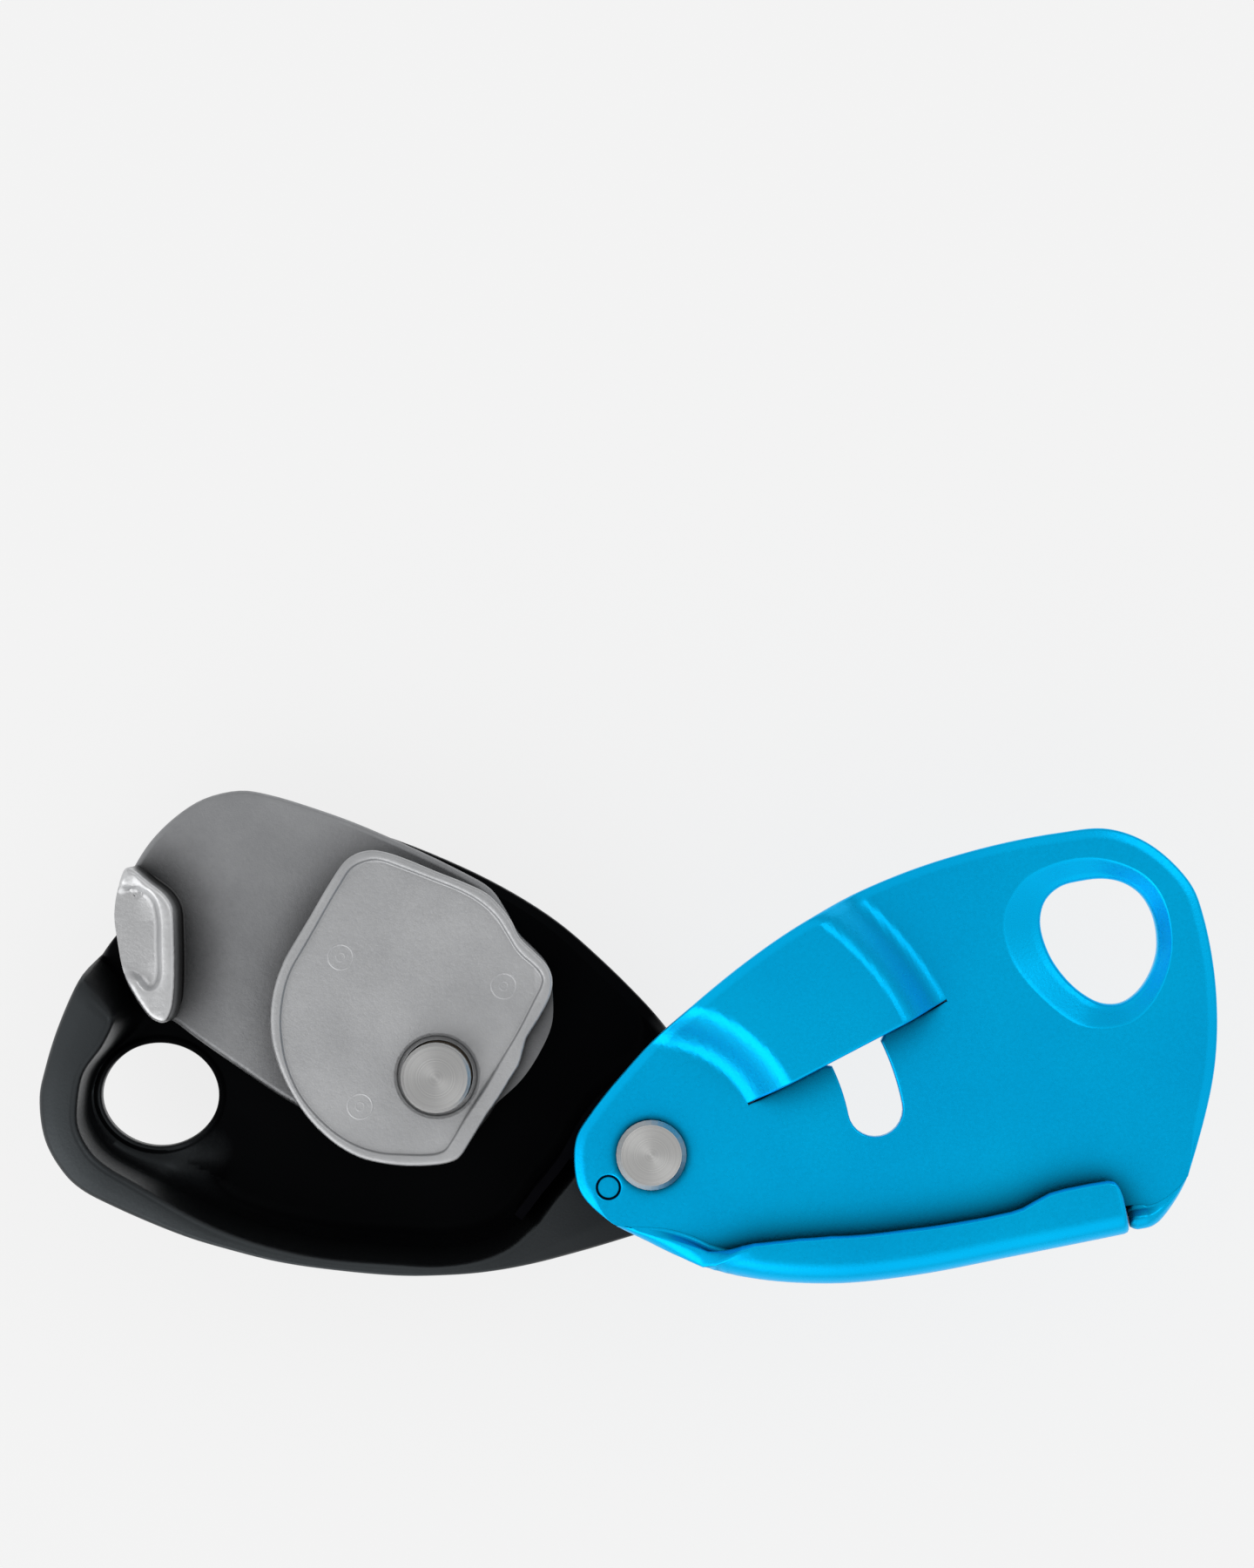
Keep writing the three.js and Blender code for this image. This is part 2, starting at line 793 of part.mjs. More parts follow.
// The stations of the rolled lip: a point of the outline, its inward side, and how far the lip is rolled there.
function lipStations() {
  const [first, last] = lipRows;
  const line = smooth(scaled(movingShares, movingReach), lipStationSteps);
  const part = line.slice(first * lipStationSteps, last * lipStationSteps + 1);
  const sides = leftward(part, false).map(([x, y]) => [-x, -y]);
  return part.map(([x, y], i) => {
    const row = Math.min(Math.floor(i / lipStationSteps), lipRollShares.length - 2);
    const share = i / lipStationSteps - row;
    const between = (list) => list[row] + (list[row + 1] - list[row]) * share;
    return { point: [x, y], side: sides[i], roll: between(lipRollShares), width: between(lipWidthShares) * lipWidth };
  });
}

function lipSection({ roll, width }) {
  const arc = Array.from({ length: lipArcSteps + 1 }, (_, i) => (Math.PI * roll * i) / lipArcSteps);
  const end = arc[lipArcSteps];
  const flat = Math.max(width - lipRadius, lipRadius / 2);
  const at = (radius, angle) => [lipRadius - radius * Math.sin(angle), lipRadius - radius * Math.cos(angle)];
  const on = ([n, z], length) => [n - Math.cos(end) * length, z + Math.sin(end) * length];
  const inner = lipRadius - movingThickness;
  return [
    [lipRadius + sheetLap, 0],
    ...arc.map((angle) => at(lipRadius, angle)),
    on(at(lipRadius, end), flat),
    on(at(inner, end), flat),
    ...arc.map((angle) => at(inner, angle)).reverse(),
    [lipRadius + sheetLap, movingThickness],
  ];
}

function movingLip(stations) {
  const sections = stations.map(lipSection);
  const loops = stations.map(({ point: [x, y], side: [sx, sy] }, i) =>
    sections[i].map(([n, z]) => [x + sx * n, y + sy * n, movingBack + z]),
  );
  return lofted(loops, [sections[0], sections[sections.length - 1]]);
}

function movingSidePlate() {
  const stations = lipStations();
  const bend = stations.map(({ point: [x, y], side: [sx, sy] }) => [x + sx * lipRadius, y + sy * lipRadius]);
  const edge = stations.map(({ point: [x, y], side: [sx, sy] }) => [x - sx * overrun, y - sy * overrun]);
  const low = movingBack - dishDepth - overrun;
  const high = movingFront + bridgeRise + overrun;
  const [inner, , , outer] = bridgeRadii;
  const window = prism(band(pivot, inner, outer, bridgeCutTurn, bridgeEndTurn), low, high);
  const slot = bentSlot(pivot, axleDistance, slotHalfWidth, axleTurn, bridgeCutTurn, low, movingFront + overrun);
  const stop = disc(polar(stopDistance, stopDirection), stopRadius, movingBack - stopHeight, movingFront);
  return prism(movingOutline, movingBack, movingFront)
    .subtract(prism([...bend, ...edge.reverse()], low, high))
    .subtract(prism(dishOutline, low, high))
    .subtract(window)
    .add(movingDish())
    .add(movingBridge())
    .add(movingLip(stations))
    .add(stop)
    .subtract(slot)
    .subtract(disc(pivot, rivetRadius + bushWall + 2 * clearance, low, high));
}

function pivotRivet() {
  const back = rimFront - fixedThickness - clearance;
  const head = movingFront + clearance;
  return spun([
    [0, back - rivetTailHeight],
    [rivetTailRadius, back - rivetTailHeight],
    [rivetTailRadius, back],
    [rivetRadius, back],
    [rivetRadius, head],
    [rivetHeadRadius, head],
    [rivetHeadRadius, head + rivetHeadHeight / 2],
    [rivetHeadRadius - rivetHeadHeight / 2, head + rivetHeadHeight],
    [0, head + rivetHeadHeight],
  ]);
}

// Cam, drawn about its own axle

const camLipOutline = smooth(scaled(camLipShares, coreReach), 1);

function camNose() {
  const top = smooth(scaled(noseShares, flangeReach), 2).map(([x, y]) => [x, y]);
  const foot = shifted(top, -noseDraft).map(([x, y], i) => (x < top[i][0] ? top[i] : [x, y]));
  const front = flangeFront + noseHeight;
  const body = lofted(
    [atHeight(foot, flangeFront - flangeThickness / 2), atHeight(foot, flangeFront), atHeight(top, front)],
    [foot, top],
  );
  const hollow = prism(smooth(scaled(noseDishShares, flangeReach), 3), front - noseDishDepth, front + overrun);
  return body.subtract(hollow);
}

function camCasting() {
  const flange = prism(smooth(scaled(flangeShares, flangeReach), 1), camBack, flangeFront);
  const core = prism(smooth(scaled(coreShares, coreReach), 1), camBack, camFront - lipThickness / 2);
  const lip = softPrism(camLipOutline, lipBack, camFront, lipThickness / 3);
  const face = prism(shifted(camLipOutline, -faceRim), camFront - faceRecess, camFront + overrun);
  const bore = axleRadius + camBushWall + 2 * clearance;
  const shoulder = axleShoulderHeight + clearance;
  const pinDepth = drivePinDepth + clearance;
  return flange
    .add(core)
    .add(lip)
    .add(camNose())
    .subtract(face)
    .subtract(disc(pivot, bore, camBack - overrun, camFront + overrun))
    .subtract(disc(pivot, axleShoulderRadius + clearance, camBack - overrun, camBack + shoulder))
    .subtract(disc(pivot, moatRadius, camFront - moatDepth, camFront + overrun))
    .subtract(disc(drivePin, drivePinRadius + clearance, camBack - overrun, camBack + pinDepth));
}

const retainerFront = leverBack - clearance;
const retainerBack = retainerFront - retainerThickness;

function camAxle() {
  const waist = axleRadius - retainerDepth;
  const shoulderFront = camBack + axleShoulderHeight;
  return spun([
    [0, coverFloor + clearance],
    [axleRadius, coverFloor + clearance],
    [axleRadius, retainerBack - retainerPlay],
    [waist, retainerBack - retainerPlay],
    [waist, retainerFront + retainerPlay],
    [axleRadius, retainerFront + retainerPlay],
    [axleRadius, camBack],
    [axleShoulderRadius, camBack],
    [axleShoulderRadius, shoulderFront],
    [axleRadius, shoulderFront],
    [axleRadius, axleHeadBack],
    [axleHeadRadius, axleHeadBack],
    [axleHeadRadius, axleHeadFront - axleHeadChamfer],
    [axleHeadRadius - axleHeadChamfer, axleHeadFront],
    [0, axleHeadFront],
  ]);
}

function retainingRing() {
  const inner = axleRadius - retainerDepth + clearance;
  const mouth = band(pivot, 0.5 * inner, 2 * inner + retainerWidth, -25, 25, 4);
  const ring = tube(inner, inner + retainerWidth, retainerBack, retainerFront);
  return ring.subtract(prism(mouth, retainerBack - overrun, retainerFront + overrun));
}

const collarBack = fixedBack - clearance - collarThickness;

function returnSpring() {
  const coil = hubBossRadius + springClearance + wireRadius;
  const low = leverFront + clearance + wireRadius;
  const high = fixedBack - clearance - wireRadius;
  const steps = springTurns * springStepsPerTurn;
  const bend = 360 / springStepsPerTurn;
  const turns = Array.from({ length: steps - 1 }, (_, i) => {
    const share = (i + 1) / steps;
    return [...polar(coil, springStart + (springEnd - springStart) * share), low + (high - low) * share];
  });
  const half = (coil + springLegReach) / 2;
  const line = [
    [...polar(springLegReach, springStart), low],
    [...polar(half, springStart), low],
    ...turns,
    [...polar(half, springEnd), high],
    [...polar(springLegReach, springEnd), high],
  ];
  const leastGap = ((high - low) * 360) / (springEnd - springStart) - 2 * wireRadius;
  console.log("return spring, least gap between turns " + leastGap.toFixed(2) + " mm, bends of " + bend + " degrees");
  return wire(line, wireRadius, steps * 2);
}

// Release lever

function leverArm() {
  const end = polar(leverLength, leverDirection);
  const side = polar(leverWidth / 2, leverDirection + 90);
  const back = leverBack;
  const arm = prism(
    [
      [side[0], side[1]],
      [-side[0], -side[1]],
      [end[0] - side[0], end[1] - side[1]],
      [end[0] + side[0], end[1] + side[1]],
    ],
    back,
    leverFront,
  );
  const low = back - overrun;
  const high = collarBack + overrun;
  const pinRoom = drivePinRadius + clearance;
  const slot = bentSlot(
    pivot,
    drivePinDistance,
    pinRoom,
    drivePinDirection - camTravel - slotMargin,
    drivePinDirection + slotMargin,
    low,
    high,
  );
  const screws = coverScrewDirections.map((turn) =>
    disc(polar(coverScrewDistance, turn), coverScrewRadius + clearance, low, high),
  );
  return disc(pivot, leverHubRadius, back, leverFront)
    .add(arm)
    .add(disc(end, leverEndRadius, back, leverFront))
    .add(disc(pivot, hubBossRadius, back, collarBack - clearance))
    .subtract(disc(pivot, axleRadius + leverBushWall + 2 * clearance, low, high))
    .subtract(disc(end, gripPinRadius + clearance, low, high))
    .subtract(slot)
    .subtract(screws[0])
    .subtract(screws[1]);
}

function hubCover() {
  const cap = spun([
    [0, 0],
    [coverRadius - coverFloor, 0],
    [coverRadius, coverFloor],
    [coverRadius, coverThickness],
    [coverPocketRadius, coverThickness],
    [coverPocketRadius, coverFloor],
    [0, coverFloor],
  ]);
  const seat = coverScrewSink + coverScrewHeadHeight + clearance;
  return coverScrewDirections.reduce((made, turn) => {
    const place = polar(coverScrewDistance, turn);
    return made
      .subtract(disc(place, coverScrewHeadRadius + clearance, -overrun, seat))
      .subtract(disc(place, coverScrewRadius + clearance, -overrun, coverThickness + overrun));
  }, cap);
}

function coverScrew() {
  const seat = coverScrewSink + coverScrewHeadHeight;
  return spun([
    [0, coverScrewSink],
    [coverScrewHeadRadius, coverScrewSink],
    [coverScrewHeadRadius, seat],
    [coverScrewRadius, seat],
    [coverScrewRadius, leverFront],
    [0, leverFront],
  ]);
}

// Folding grip, drawn about its own pin

function gripBody() {
  const outline = smooth(scaled(gripShares, gripReach), 1);
  const low = -overrun;
  const high = gripHeight + overrun;
  const headRoom = gripPinSink + gripPinHeadHeight + clearance;
  const cavity = scaled(gripCavityShares, gripReach);
  const [near, far] = cavity;
  const hollow = prism(
    [
      [near[0], near[1] + gripCavityRadius],
      [far[0], far[1] + gripCavityRadius],
      [far[0], far[1] - gripCavityRadius],
      [near[0], near[1] - gripCavityRadius],
    ],
    gripCavityWall,
    gripHeight - gripCavityWall,
  );
  const screws = scaled(gripScrewShares, gripReach);
  const screwRoom = gripScrewSink + gripScrewHeadHeight + clearance;
  const cuts = [
    disc(pivot, gripPocketRadius, leverBack - clearance, leverFront + clearance),
    disc(pivot, gripPinRadius + clearance, low, high),
    disc(pivot, gripPinHeadRadius + clearance, low, headRoom),
    disc(pivot, gripPinHeadRadius + clearance, gripHeight - headRoom, high),
    hollow,
    ...screws.map((place) => disc(place, gripScrewRadius + clearance, low, gripScrewEnd + clearance)),
    ...screws.map((place) => disc(place, gripScrewHeadRadius + clearance, low, screwRoom)),
  ];
  return cuts.reduce((made, cut) => made.subtract(cut), softPrism(outline, 0, gripHeight, gripBevel));
}

function gripHalf(low, high) {
  const room = circle(pivot, gripReach + overrun);
  return gripBody().intersect(prism(room, low, high));
}

function grippingPin() {
  const front = gripHeight - gripPinSink;
  return spun([
    [0, gripPinSink],
    [gripPinHeadRadius, gripPinSink],
    [gripPinHeadRadius, gripPinSink + gripPinHeadHeight],
    [gripPinRadius, gripPinSink + gripPinHeadHeight],
    [gripPinRadius, front - gripPinHeadHeight],
    [gripPinHeadRadius, front - gripPinHeadHeight],
    [gripPinHeadRadius, front],
    [0, front],
  ]);
}

function gripScrew() {
  const seat = gripScrewSink + gripScrewHeadHeight;
  return spun([
    [0, gripScrewSink],
    [gripScrewHeadRadius, gripScrewSink],
    [gripScrewHeadRadius, seat],
    [gripScrewRadius, seat],
    [gripScrewRadius, gripScrewEnd],
    [0, gripScrewEnd],
  ]);
}

// Mode selector, drawn about its own shaft

const buttonPlace = polar(buttonDistance, selectorDirection);
const buttonFront = buttonBack + buttonHeight;

function selectorKnob() {
  const sides = knobScallops * 4;
  const outline = Array.from({ length: sides }, (_, i) => {
    const turn = (i * 360) / sides;
    const wave = 1 - Math.cos(THREE.MathUtils.degToRad(turn * knobScallops));
    return polar(knobRadius * (1 - (knobScallopShare * wave) / 2), turn);
  });
  const front = fixedBack - clearance;
  const grip = lofted(
    [
      atHeight(scaled(outline, 1 - knobChamfer / knobRadius), knobBack),
      atHeight(outline, knobBack + knobChamfer),
      atHeight(outline, front),
    ],
    [outline, outline],
  );
  const [ux, uy] = polar(1, selectorDirection + 180);
  const [sx, sy] = polar(pointerHalfWidth, selectorDirection + 90);
  const far = knobRadius - knobChamfer;
  const near = pointerHalfWidth * 2;
  const pointer = prism(
    [
      [ux * near + sx, uy * near + sy],
      [ux * near - sx, uy * near - sy],
      [ux * far - sx, uy * far - sy],
      [ux * far + sx, uy * far + sy],
    ],
    knobBack - overrun,
    knobBack + pointerDepth,
  );
  return grip
    .subtract(disc(pivot, selectorShaftRadius + clearance, selectorShaftBack - clearance, front + overrun))
    .subtract(disc(buttonPlace, buttonRadius + clearance, knobBack - overrun, buttonFront + buttonRoom))
    .subtract(pointer);
}

function selectorShaft() {
  const seat = fixedFront - selectorHeadHeight;
  return spun([
    [0, selectorShaftBack],
    [selectorShaftRadius, selectorShaftBack],
    [selectorShaftRadius, seat],
    [selectorHeadRadius, seat],
    [selectorHeadRadius, fixedFront],
    [0, fixedFront],
  ]);
}

function lockButton() {
  const [x, y] = buttonPlace;
  const button = spun([
    [0, buttonBack],
    [buttonRadius - clearance, buttonBack],
    [buttonRadius, buttonBack + clearance],
    [buttonRadius, buttonFront],
    [0, buttonFront],
  ]);
  return button.translate([x, y, 0]);
}

function lockSpring() {
  const [x, y] = buttonPlace;
  const coil = buttonRadius - 2 * buttonWireRadius;
  const low = buttonFront + clearance + buttonWireRadius;
  const high = buttonFront + buttonRoom - clearance - buttonWireRadius;
  const steps = buttonSpringTurns * 8;
  const line = Array.from({ length: steps + 1 }, (_, i) => {
    const [dx, dy] = polar(coil, (i * 360) / 8);
    return [x + dx, y + dy, low + ((high - low) * i) / steps];
  });
  return wire(line, buttonWireRadius, steps);
}

// Assembly

const device = new THREE.Group();

function group(place, degrees = 0) {
  const made = new THREE.Group();
  made.position.set(place[0], place[1], 0);
  made.rotation.z = THREE.MathUtils.degToRad(degrees);
  device.add(made);
  return made;
}

const frame = group(pivot);
frame.add(piece("fixed_side_plate", fixedSidePlate(), blackAluminium));
frame.add(piece("friction_plate", frictionPlate(), turnedSteel));
frame.add(piece("pivot_rivet", pivotRivet(), turnedSteel));

const movingSide = group(pivot, openDirection);
const bushInner = rivetRadius + clearance;
movingSide.add(piece("moving_side_plate", movingSidePlate(), blueAluminium));
movingSide.add(piece("pivot_bush", tube(bushInner, bushInner + bushWall, movingBack, movingFront), bronze));

const onAxle = group(axle);
const camBushInner = axleRadius + clearance;
const camBushBack = camBack + axleShoulderHeight + clearance;
const camBushFront = camFront - moatDepth - clearance;
const collar = tube(axleRadius + clearance, axleShoulderRadius, collarBack, fixedBack - clearance);
const anchor = polar(anchorDistance, anchorDirection);
const camBush = tube(camBushInner, camBushInner + camBushWall, camBushBack, camBushFront);
const leverBush = tube(camBushInner, camBushInner + leverBushWall, leverBack, collarBack - clearance);
onAxle.add(piece("cam_axle", camAxle(), turnedSteel));
onAxle.add(piece("axle_collar", collar, turnedSteel));
onAxle.add(piece("axle_retaining_ring", retainingRing(), springSteel));
onAxle.add(piece("cam_return_spring", returnSpring(), springSteel));
onAxle.add(piece("spring_anchor_pin", disc(anchor, anchorRadius, leverFront + clearance * 2, fixedFront), turnedSteel));
onAxle.add(piece("cam", camCasting(), castSteel));
onAxle.add(piece("cam_bush", camBush, bronze));
onAxle.add(piece("cam_drive_pin", disc(drivePin, drivePinRadius, leverBack + clearance, camBack + drivePinDepth), turnedSteel));
onAxle.add(piece("lever_arm", leverArm(), turnedSteel));
onAxle.add(piece("lever_bush", leverBush, bronze));
onAxle.add(piece("lever_hub_cover", hubCover(), blackNylon));
coverScrewDirections.forEach((turn, i) => {
  const screw = piece("cover_screw_" + (i + 1), coverScrew(), turnedSteel);
  const [x, y] = polar(coverScrewDistance, turn);
  screw.position.set(x, y, 0);
  onAxle.add(screw);
});

const grip = group(gripPin);
const parting = gripHeight / 2;
grip.add(piece("grip_pin", grippingPin(), turnedSteel));
grip.add(piece("grip_back_shell", gripHalf(0, parting - clearance / 2), blackNylon));
grip.add(piece("grip_front_shell", gripHalf(parting + clearance / 2, gripHeight), blackNylon));
scaled(gripScrewShares, gripReach).forEach(([x, y], i) => {
  const screw = piece("grip_screw_" + (i + 1), gripScrew(), turnedSteel);
  screw.position.set(x, y, 0);
  grip.add(screw);
});

const onSelector = group(selector);
onSelector.add(piece("selector_knob", selectorKnob(), greyNylon));
onSelector.add(piece("selector_shaft", selectorShaft(), turnedSteel));
onSelector.add(piece("selector_lock_button", lockButton(), blackNylon));
onSelector.add(piece("selector_lock_spring", lockSpring(), springSteel));

// The origin is the middle of the footprint, on the resting face.
const size = new THREE.Box3().setFromObject(device, true);
device.position.set(-(size.min.x + size.max.x) / 2, -(size.min.y + size.max.y) / 2, -size.min.z);

export default device;
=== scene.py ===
import bpy
import bmesh
import json
from math import pi, sin, cos, radians, hypot, atan2
from mathutils import Vector, Matrix


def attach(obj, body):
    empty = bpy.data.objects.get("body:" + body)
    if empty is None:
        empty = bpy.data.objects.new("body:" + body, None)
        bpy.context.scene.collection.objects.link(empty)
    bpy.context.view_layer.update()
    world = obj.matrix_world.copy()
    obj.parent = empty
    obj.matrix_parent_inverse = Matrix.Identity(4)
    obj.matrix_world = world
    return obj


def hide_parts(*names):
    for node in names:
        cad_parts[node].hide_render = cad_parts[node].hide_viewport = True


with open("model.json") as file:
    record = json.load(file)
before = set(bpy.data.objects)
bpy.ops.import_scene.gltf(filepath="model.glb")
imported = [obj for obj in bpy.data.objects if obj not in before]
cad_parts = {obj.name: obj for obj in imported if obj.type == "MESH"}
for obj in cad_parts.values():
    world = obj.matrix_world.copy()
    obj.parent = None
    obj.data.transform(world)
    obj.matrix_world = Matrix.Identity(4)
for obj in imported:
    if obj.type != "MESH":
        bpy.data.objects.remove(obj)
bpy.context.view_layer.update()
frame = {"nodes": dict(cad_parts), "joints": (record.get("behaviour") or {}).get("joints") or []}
joints = {joint["name"]: joint for joint in frame["joints"]}
pivotAt = Vector(joints["side_plate_hinge"]["pos_m"])
axleAt = Vector(joints["cam_hinge"]["pos_m"])
gripAt = Vector(joints["grip_fold"]["pos_m"])
selectorAt = Vector(joints["mode_selector_turn"]["pos_m"])
print("frame loaded:", len(frame["nodes"]), "nodes")

# Everything below is drawn in millimetres about the side plate's pivot, and put in place at the end
levels = {
    "fixedBack": 9.5,
    "fixedFront": 12.0,
    "camBack": 12.3,
    "flangeFront": 14.5,
    "lipBack": 25.2,
    "camFront": 27.0,
    "movingBack": 27.3,
    "movingFront": 29.5,
    "rimFront": 25.5,
}
plan = {
    "fixedTurn": 172.8,
    "openTurn": 25.6,
    "axle": ((axleAt.x - pivotAt.x) * 1000, (axleAt.y - pivotAt.y) * 1000),
    "gripPin": ((gripAt.x - pivotAt.x) * 1000, (gripAt.y - pivotAt.y) * 1000),
    "selector": ((selectorAt.x - pivotAt.x) * 1000, (selectorAt.y - pivotAt.y) * 1000),
}


# Camera, sky, lamps and floor. The camera looks straight down from a distance above a plane through the device
camera = {
    "distance": 700.0,
    "plane": 20.8,
    "right": -3.118,
    "up": 47.49,
    "lens": 123.9,
    "sensor": 36,
    "farClip": 10,
}

camData = bpy.data.cameras.new("photoCamera")
camData.sensor_fit = "AUTO"
camData.sensor_width = camera["sensor"]
camData.lens = camera["lens"]
camData.clip_end = camera["farClip"]
camObject = bpy.data.objects.new("photoCamera", camData)
bpy.context.scene.collection.objects.link(camObject)
camObject.location = (
    pivotAt.x + camera["right"] / 1000,
    pivotAt.y + camera["up"] / 1000,
    (camera["distance"] + camera["plane"]) / 1000,
)
bpy.context.scene.camera = camObject
bpy.context.scene.view_settings.view_transform = "Standard"

light = {
    "overhead": 0.6,
    "ring": 0.92,
    "low": 0.55,
    "below": 0.5,
    "towards": (-0.65, -0.76, 0),
    "farSide": 0.6,
    "nearSide": 1.15,
    "floor": (0.1, 0.1, 0.1),
    "floorGlow": 0.81,
    "backdrop": 0.896,
}


# Sets inputs by name or number: a socket is linked, and anything else is a value
def feed(tree, node, inputs):
    for key, value in inputs.items():
        if isinstance(value, bpy.types.NodeSocket):
            tree.links.new(value, node.inputs[key])
        else:
            node.inputs[key].default_value = value


def addNode(tree, kind, inputs, **settings):
    node = tree.nodes.new(kind)
    for key, value in settings.items():
        setattr(node, key, value)
    feed(tree, node, inputs)
    return node


def ramp(tree, value, stops, interpolation="LINEAR"):
    node = addNode(tree, "ShaderNodeValToRGB", {"Fac": value})
    node.color_ramp.interpolation = interpolation
    while len(node.color_ramp.elements) < len(stops):
        node.color_ramp.elements.new(0.5)
    for element, (position, shade) in zip(node.color_ramp.elements, stops):
        element.position = position
        element.color = (*shade, 1) if isinstance(shade, tuple) else (shade, shade, shade, 1)
    return node.outputs["Color"]


def spread(tree, value, low, high, start=0.3, end=0.7):
    inputs = {"Value": value, "From Min": start, "From Max": end, "To Min": low, "To Max": high}
    return addNode(tree, "ShaderNodeMapRange", inputs).outputs["Result"]


def split(tree, place):
    return addNode(tree, "ShaderNodeSeparateXYZ", {0: place}).outputs


def vectorMath(tree, operation, a, b=(0, 0, 0)):
    return addNode(tree, "ShaderNodeVectorMath", {0: a, 1: b}, operation=operation)


def scalarMath(tree, operation, a, b=0):
    return addNode(tree, "ShaderNodeMath", {0: a, 1: b}, operation=operation).outputs[0]


# The sky: dim overhead, a bright ring round it, and brighter on one side; the camera sees a plain backdrop
world = bpy.data.worlds.new("studio")
bpy.context.scene.world = world
world.use_nodes = True
sky = world.node_tree
sky.nodes.clear()
skyPlace = addNode(sky, "ShaderNodeTexCoord", {}).outputs["Generated"]
skyShade = ramp(sky, spread(sky, split(sky, skyPlace)["Z"], 0, 1, -1, 1), [
    (0.0, light["below"]),
    (0.5, light["low"]),
    (0.7, light["ring"]),
    (0.925, light["ring"]),
    (0.985, light["overhead"]),
    (1.0, light["overhead"]),
], "EASE")
skySide = vectorMath(sky, "DOT_PRODUCT", skyPlace, light["towards"]).outputs["Value"]
skyFall = spread(sky, skySide, light["farSide"], light["nearSide"], -1, 1)
skyLit = addNode(sky, "ShaderNodeBackground", {"Color": skyShade, "Strength": skyFall})
skyPlain = addNode(sky, "ShaderNodeBackground", {"Color": (light["backdrop"], light["backdrop"], light["backdrop"], 1)})
skyPath = addNode(sky, "ShaderNodeLightPath", {})
skySides = {"Fac": skyPath.outputs["Is Camera Ray"], 1: skyLit.outputs[0], 2: skyPlain.outputs[0]}
skyMix = addNode(sky, "ShaderNodeMixShader", skySides)
addNode(sky, "ShaderNodeOutputWorld", {"Surface": skyMix.outputs[0]})

lamps = {
    "key": {"place": (-380, -430, 470), "size": 800, "watts": 1.2},
    "fill": {"place": (420, 380, 620), "size": 500, "watts": 0.5},
}
for name, lamp in lamps.items():
    data = bpy.data.lights.new(name, "AREA")
    data.shape = "DISK"
    data.size = lamp["size"] / 1000
    data.energy = lamp["watts"]
    thing = bpy.data.objects.new(name, data)
    bpy.context.scene.collection.objects.link(thing)
    thing.visible_camera = False
    thing.location = Vector(lamp["place"]) / 1000
    thing.rotation_mode = "QUATERNION"
    thing.rotation_quaternion = (-thing.location).to_track_quat("-Z", "Y")

ground = {"half": 3, "drop": 0.0005}
floorMesh = bpy.data.meshes.new("floor")
grid = bmesh.new()
bmesh.ops.create_grid(grid, x_segments=1, y_segments=1, size=ground["half"])
grid.to_mesh(floorMesh)
grid.free()
floorObject = bpy.data.objects.new("floor", floorMesh)
bpy.context.scene.collection.objects.link(floorObject)
floorObject.location.z = -ground["drop"]
floorPaint = bpy.data.materials.new("paleFloor")
floorPaint.use_nodes = True
feed(floorPaint.node_tree, floorPaint.node_tree.nodes["Principled BSDF"], {
    "Base Color": (*light["floor"], 1),
    "Roughness": 1,
    "Specular IOR Level": 0,
    "Emission Color": (1, 1, 1, 1),
    "Emission Strength": light["floorGlow"],
})
floorMesh.materials.append(floorPaint)
print("camera, floor and lamps set")


# Materials, all on object coordinates in metres
grains = {
    "etch": 0.00006,
    "castWave": 0.0006,
    "cast": 0.00014,
    "markLine": 0.00014,
    "markDepth": 0.00005,
    "turning": 0.00004,
    "pits": 0.00012,
}


def startMaterial(name):
    material = bpy.data.materials.new(name)
    material.use_nodes = True
    tree = material.node_tree
    place = addNode(tree, "ShaderNodeTexCoord", {})
    return material, tree, tree.nodes["Principled BSDF"], place.outputs["Object"]


def noise(tree, where, scale, detail=3, roughness=0.55):
    inputs = {"Vector": where, "Scale": scale, "Detail": detail, "Roughness": roughness}
    return addNode(tree, "ShaderNodeTexNoise", inputs).outputs["Fac"]


def bump(tree, height, strength, distance, after=None):
    inputs = {"Height": height, "Strength": strength, "Distance": distance}
    if after is not None:
        inputs["Normal"] = after
    return addNode(tree, "ShaderNodeBump", inputs).outputs["Normal"]


def multiplied(tree, color, shade):
    inputs = {"Factor": 1, 6: color, 7: shade}
    return addNode(tree, "ShaderNodeMix", inputs, data_type="RGBA", blend_type="MULTIPLY").outputs[2]


# Paints shade into a colour in folds and under edges, where little light comes in
def paintedFoldShade(tree, color, reach, deep):
    fold = addNode(tree, "ShaderNodeAmbientOcclusion", {"Distance": reach}, samples=12).outputs["AO"]
    shade = ramp(tree, fold, [(0.3, 0.25 * deep), (0.5, deep), (0.75, 0.5 + 0.5 * deep), (0.93, 1.0)])
    return multiplied(tree, color, shade)


# Painted shade: a wall that stands in its own shade is painted darker towards its foot
def paintedShadeBelow(tree, color, place, foot, top, least):
    return multiplied(tree, color, spread(tree, split(tree, place)["Z"], least, 1, foot / 1000, top / 1000))


# Anodised sheet: a fine etched grain under slow drifts of shade
def anodised(name, dark, plain, metallic, rough, grain, fold=None):
    material, tree, shader, place = startMaterial(name)
    color = ramp(tree, noise(tree, place, 35, 2), [(0.35, dark), (0.65, plain)])
    # Painted shade: the colour is darkened in folds and under edges
    if fold:
        color = paintedFoldShade(tree, color, *fold)
    fine = noise(tree, place, 2600, 2)
    feed(tree, shader, {
        "Base Color": color,
        "Metallic": metallic,
        "Specular IOR Level": 0.1,
        "Roughness": spread(tree, fine, rough - 0.04, rough + 0.05),
        "Normal": bump(tree, fine, grain, grains["etch"]),
    })
    return material
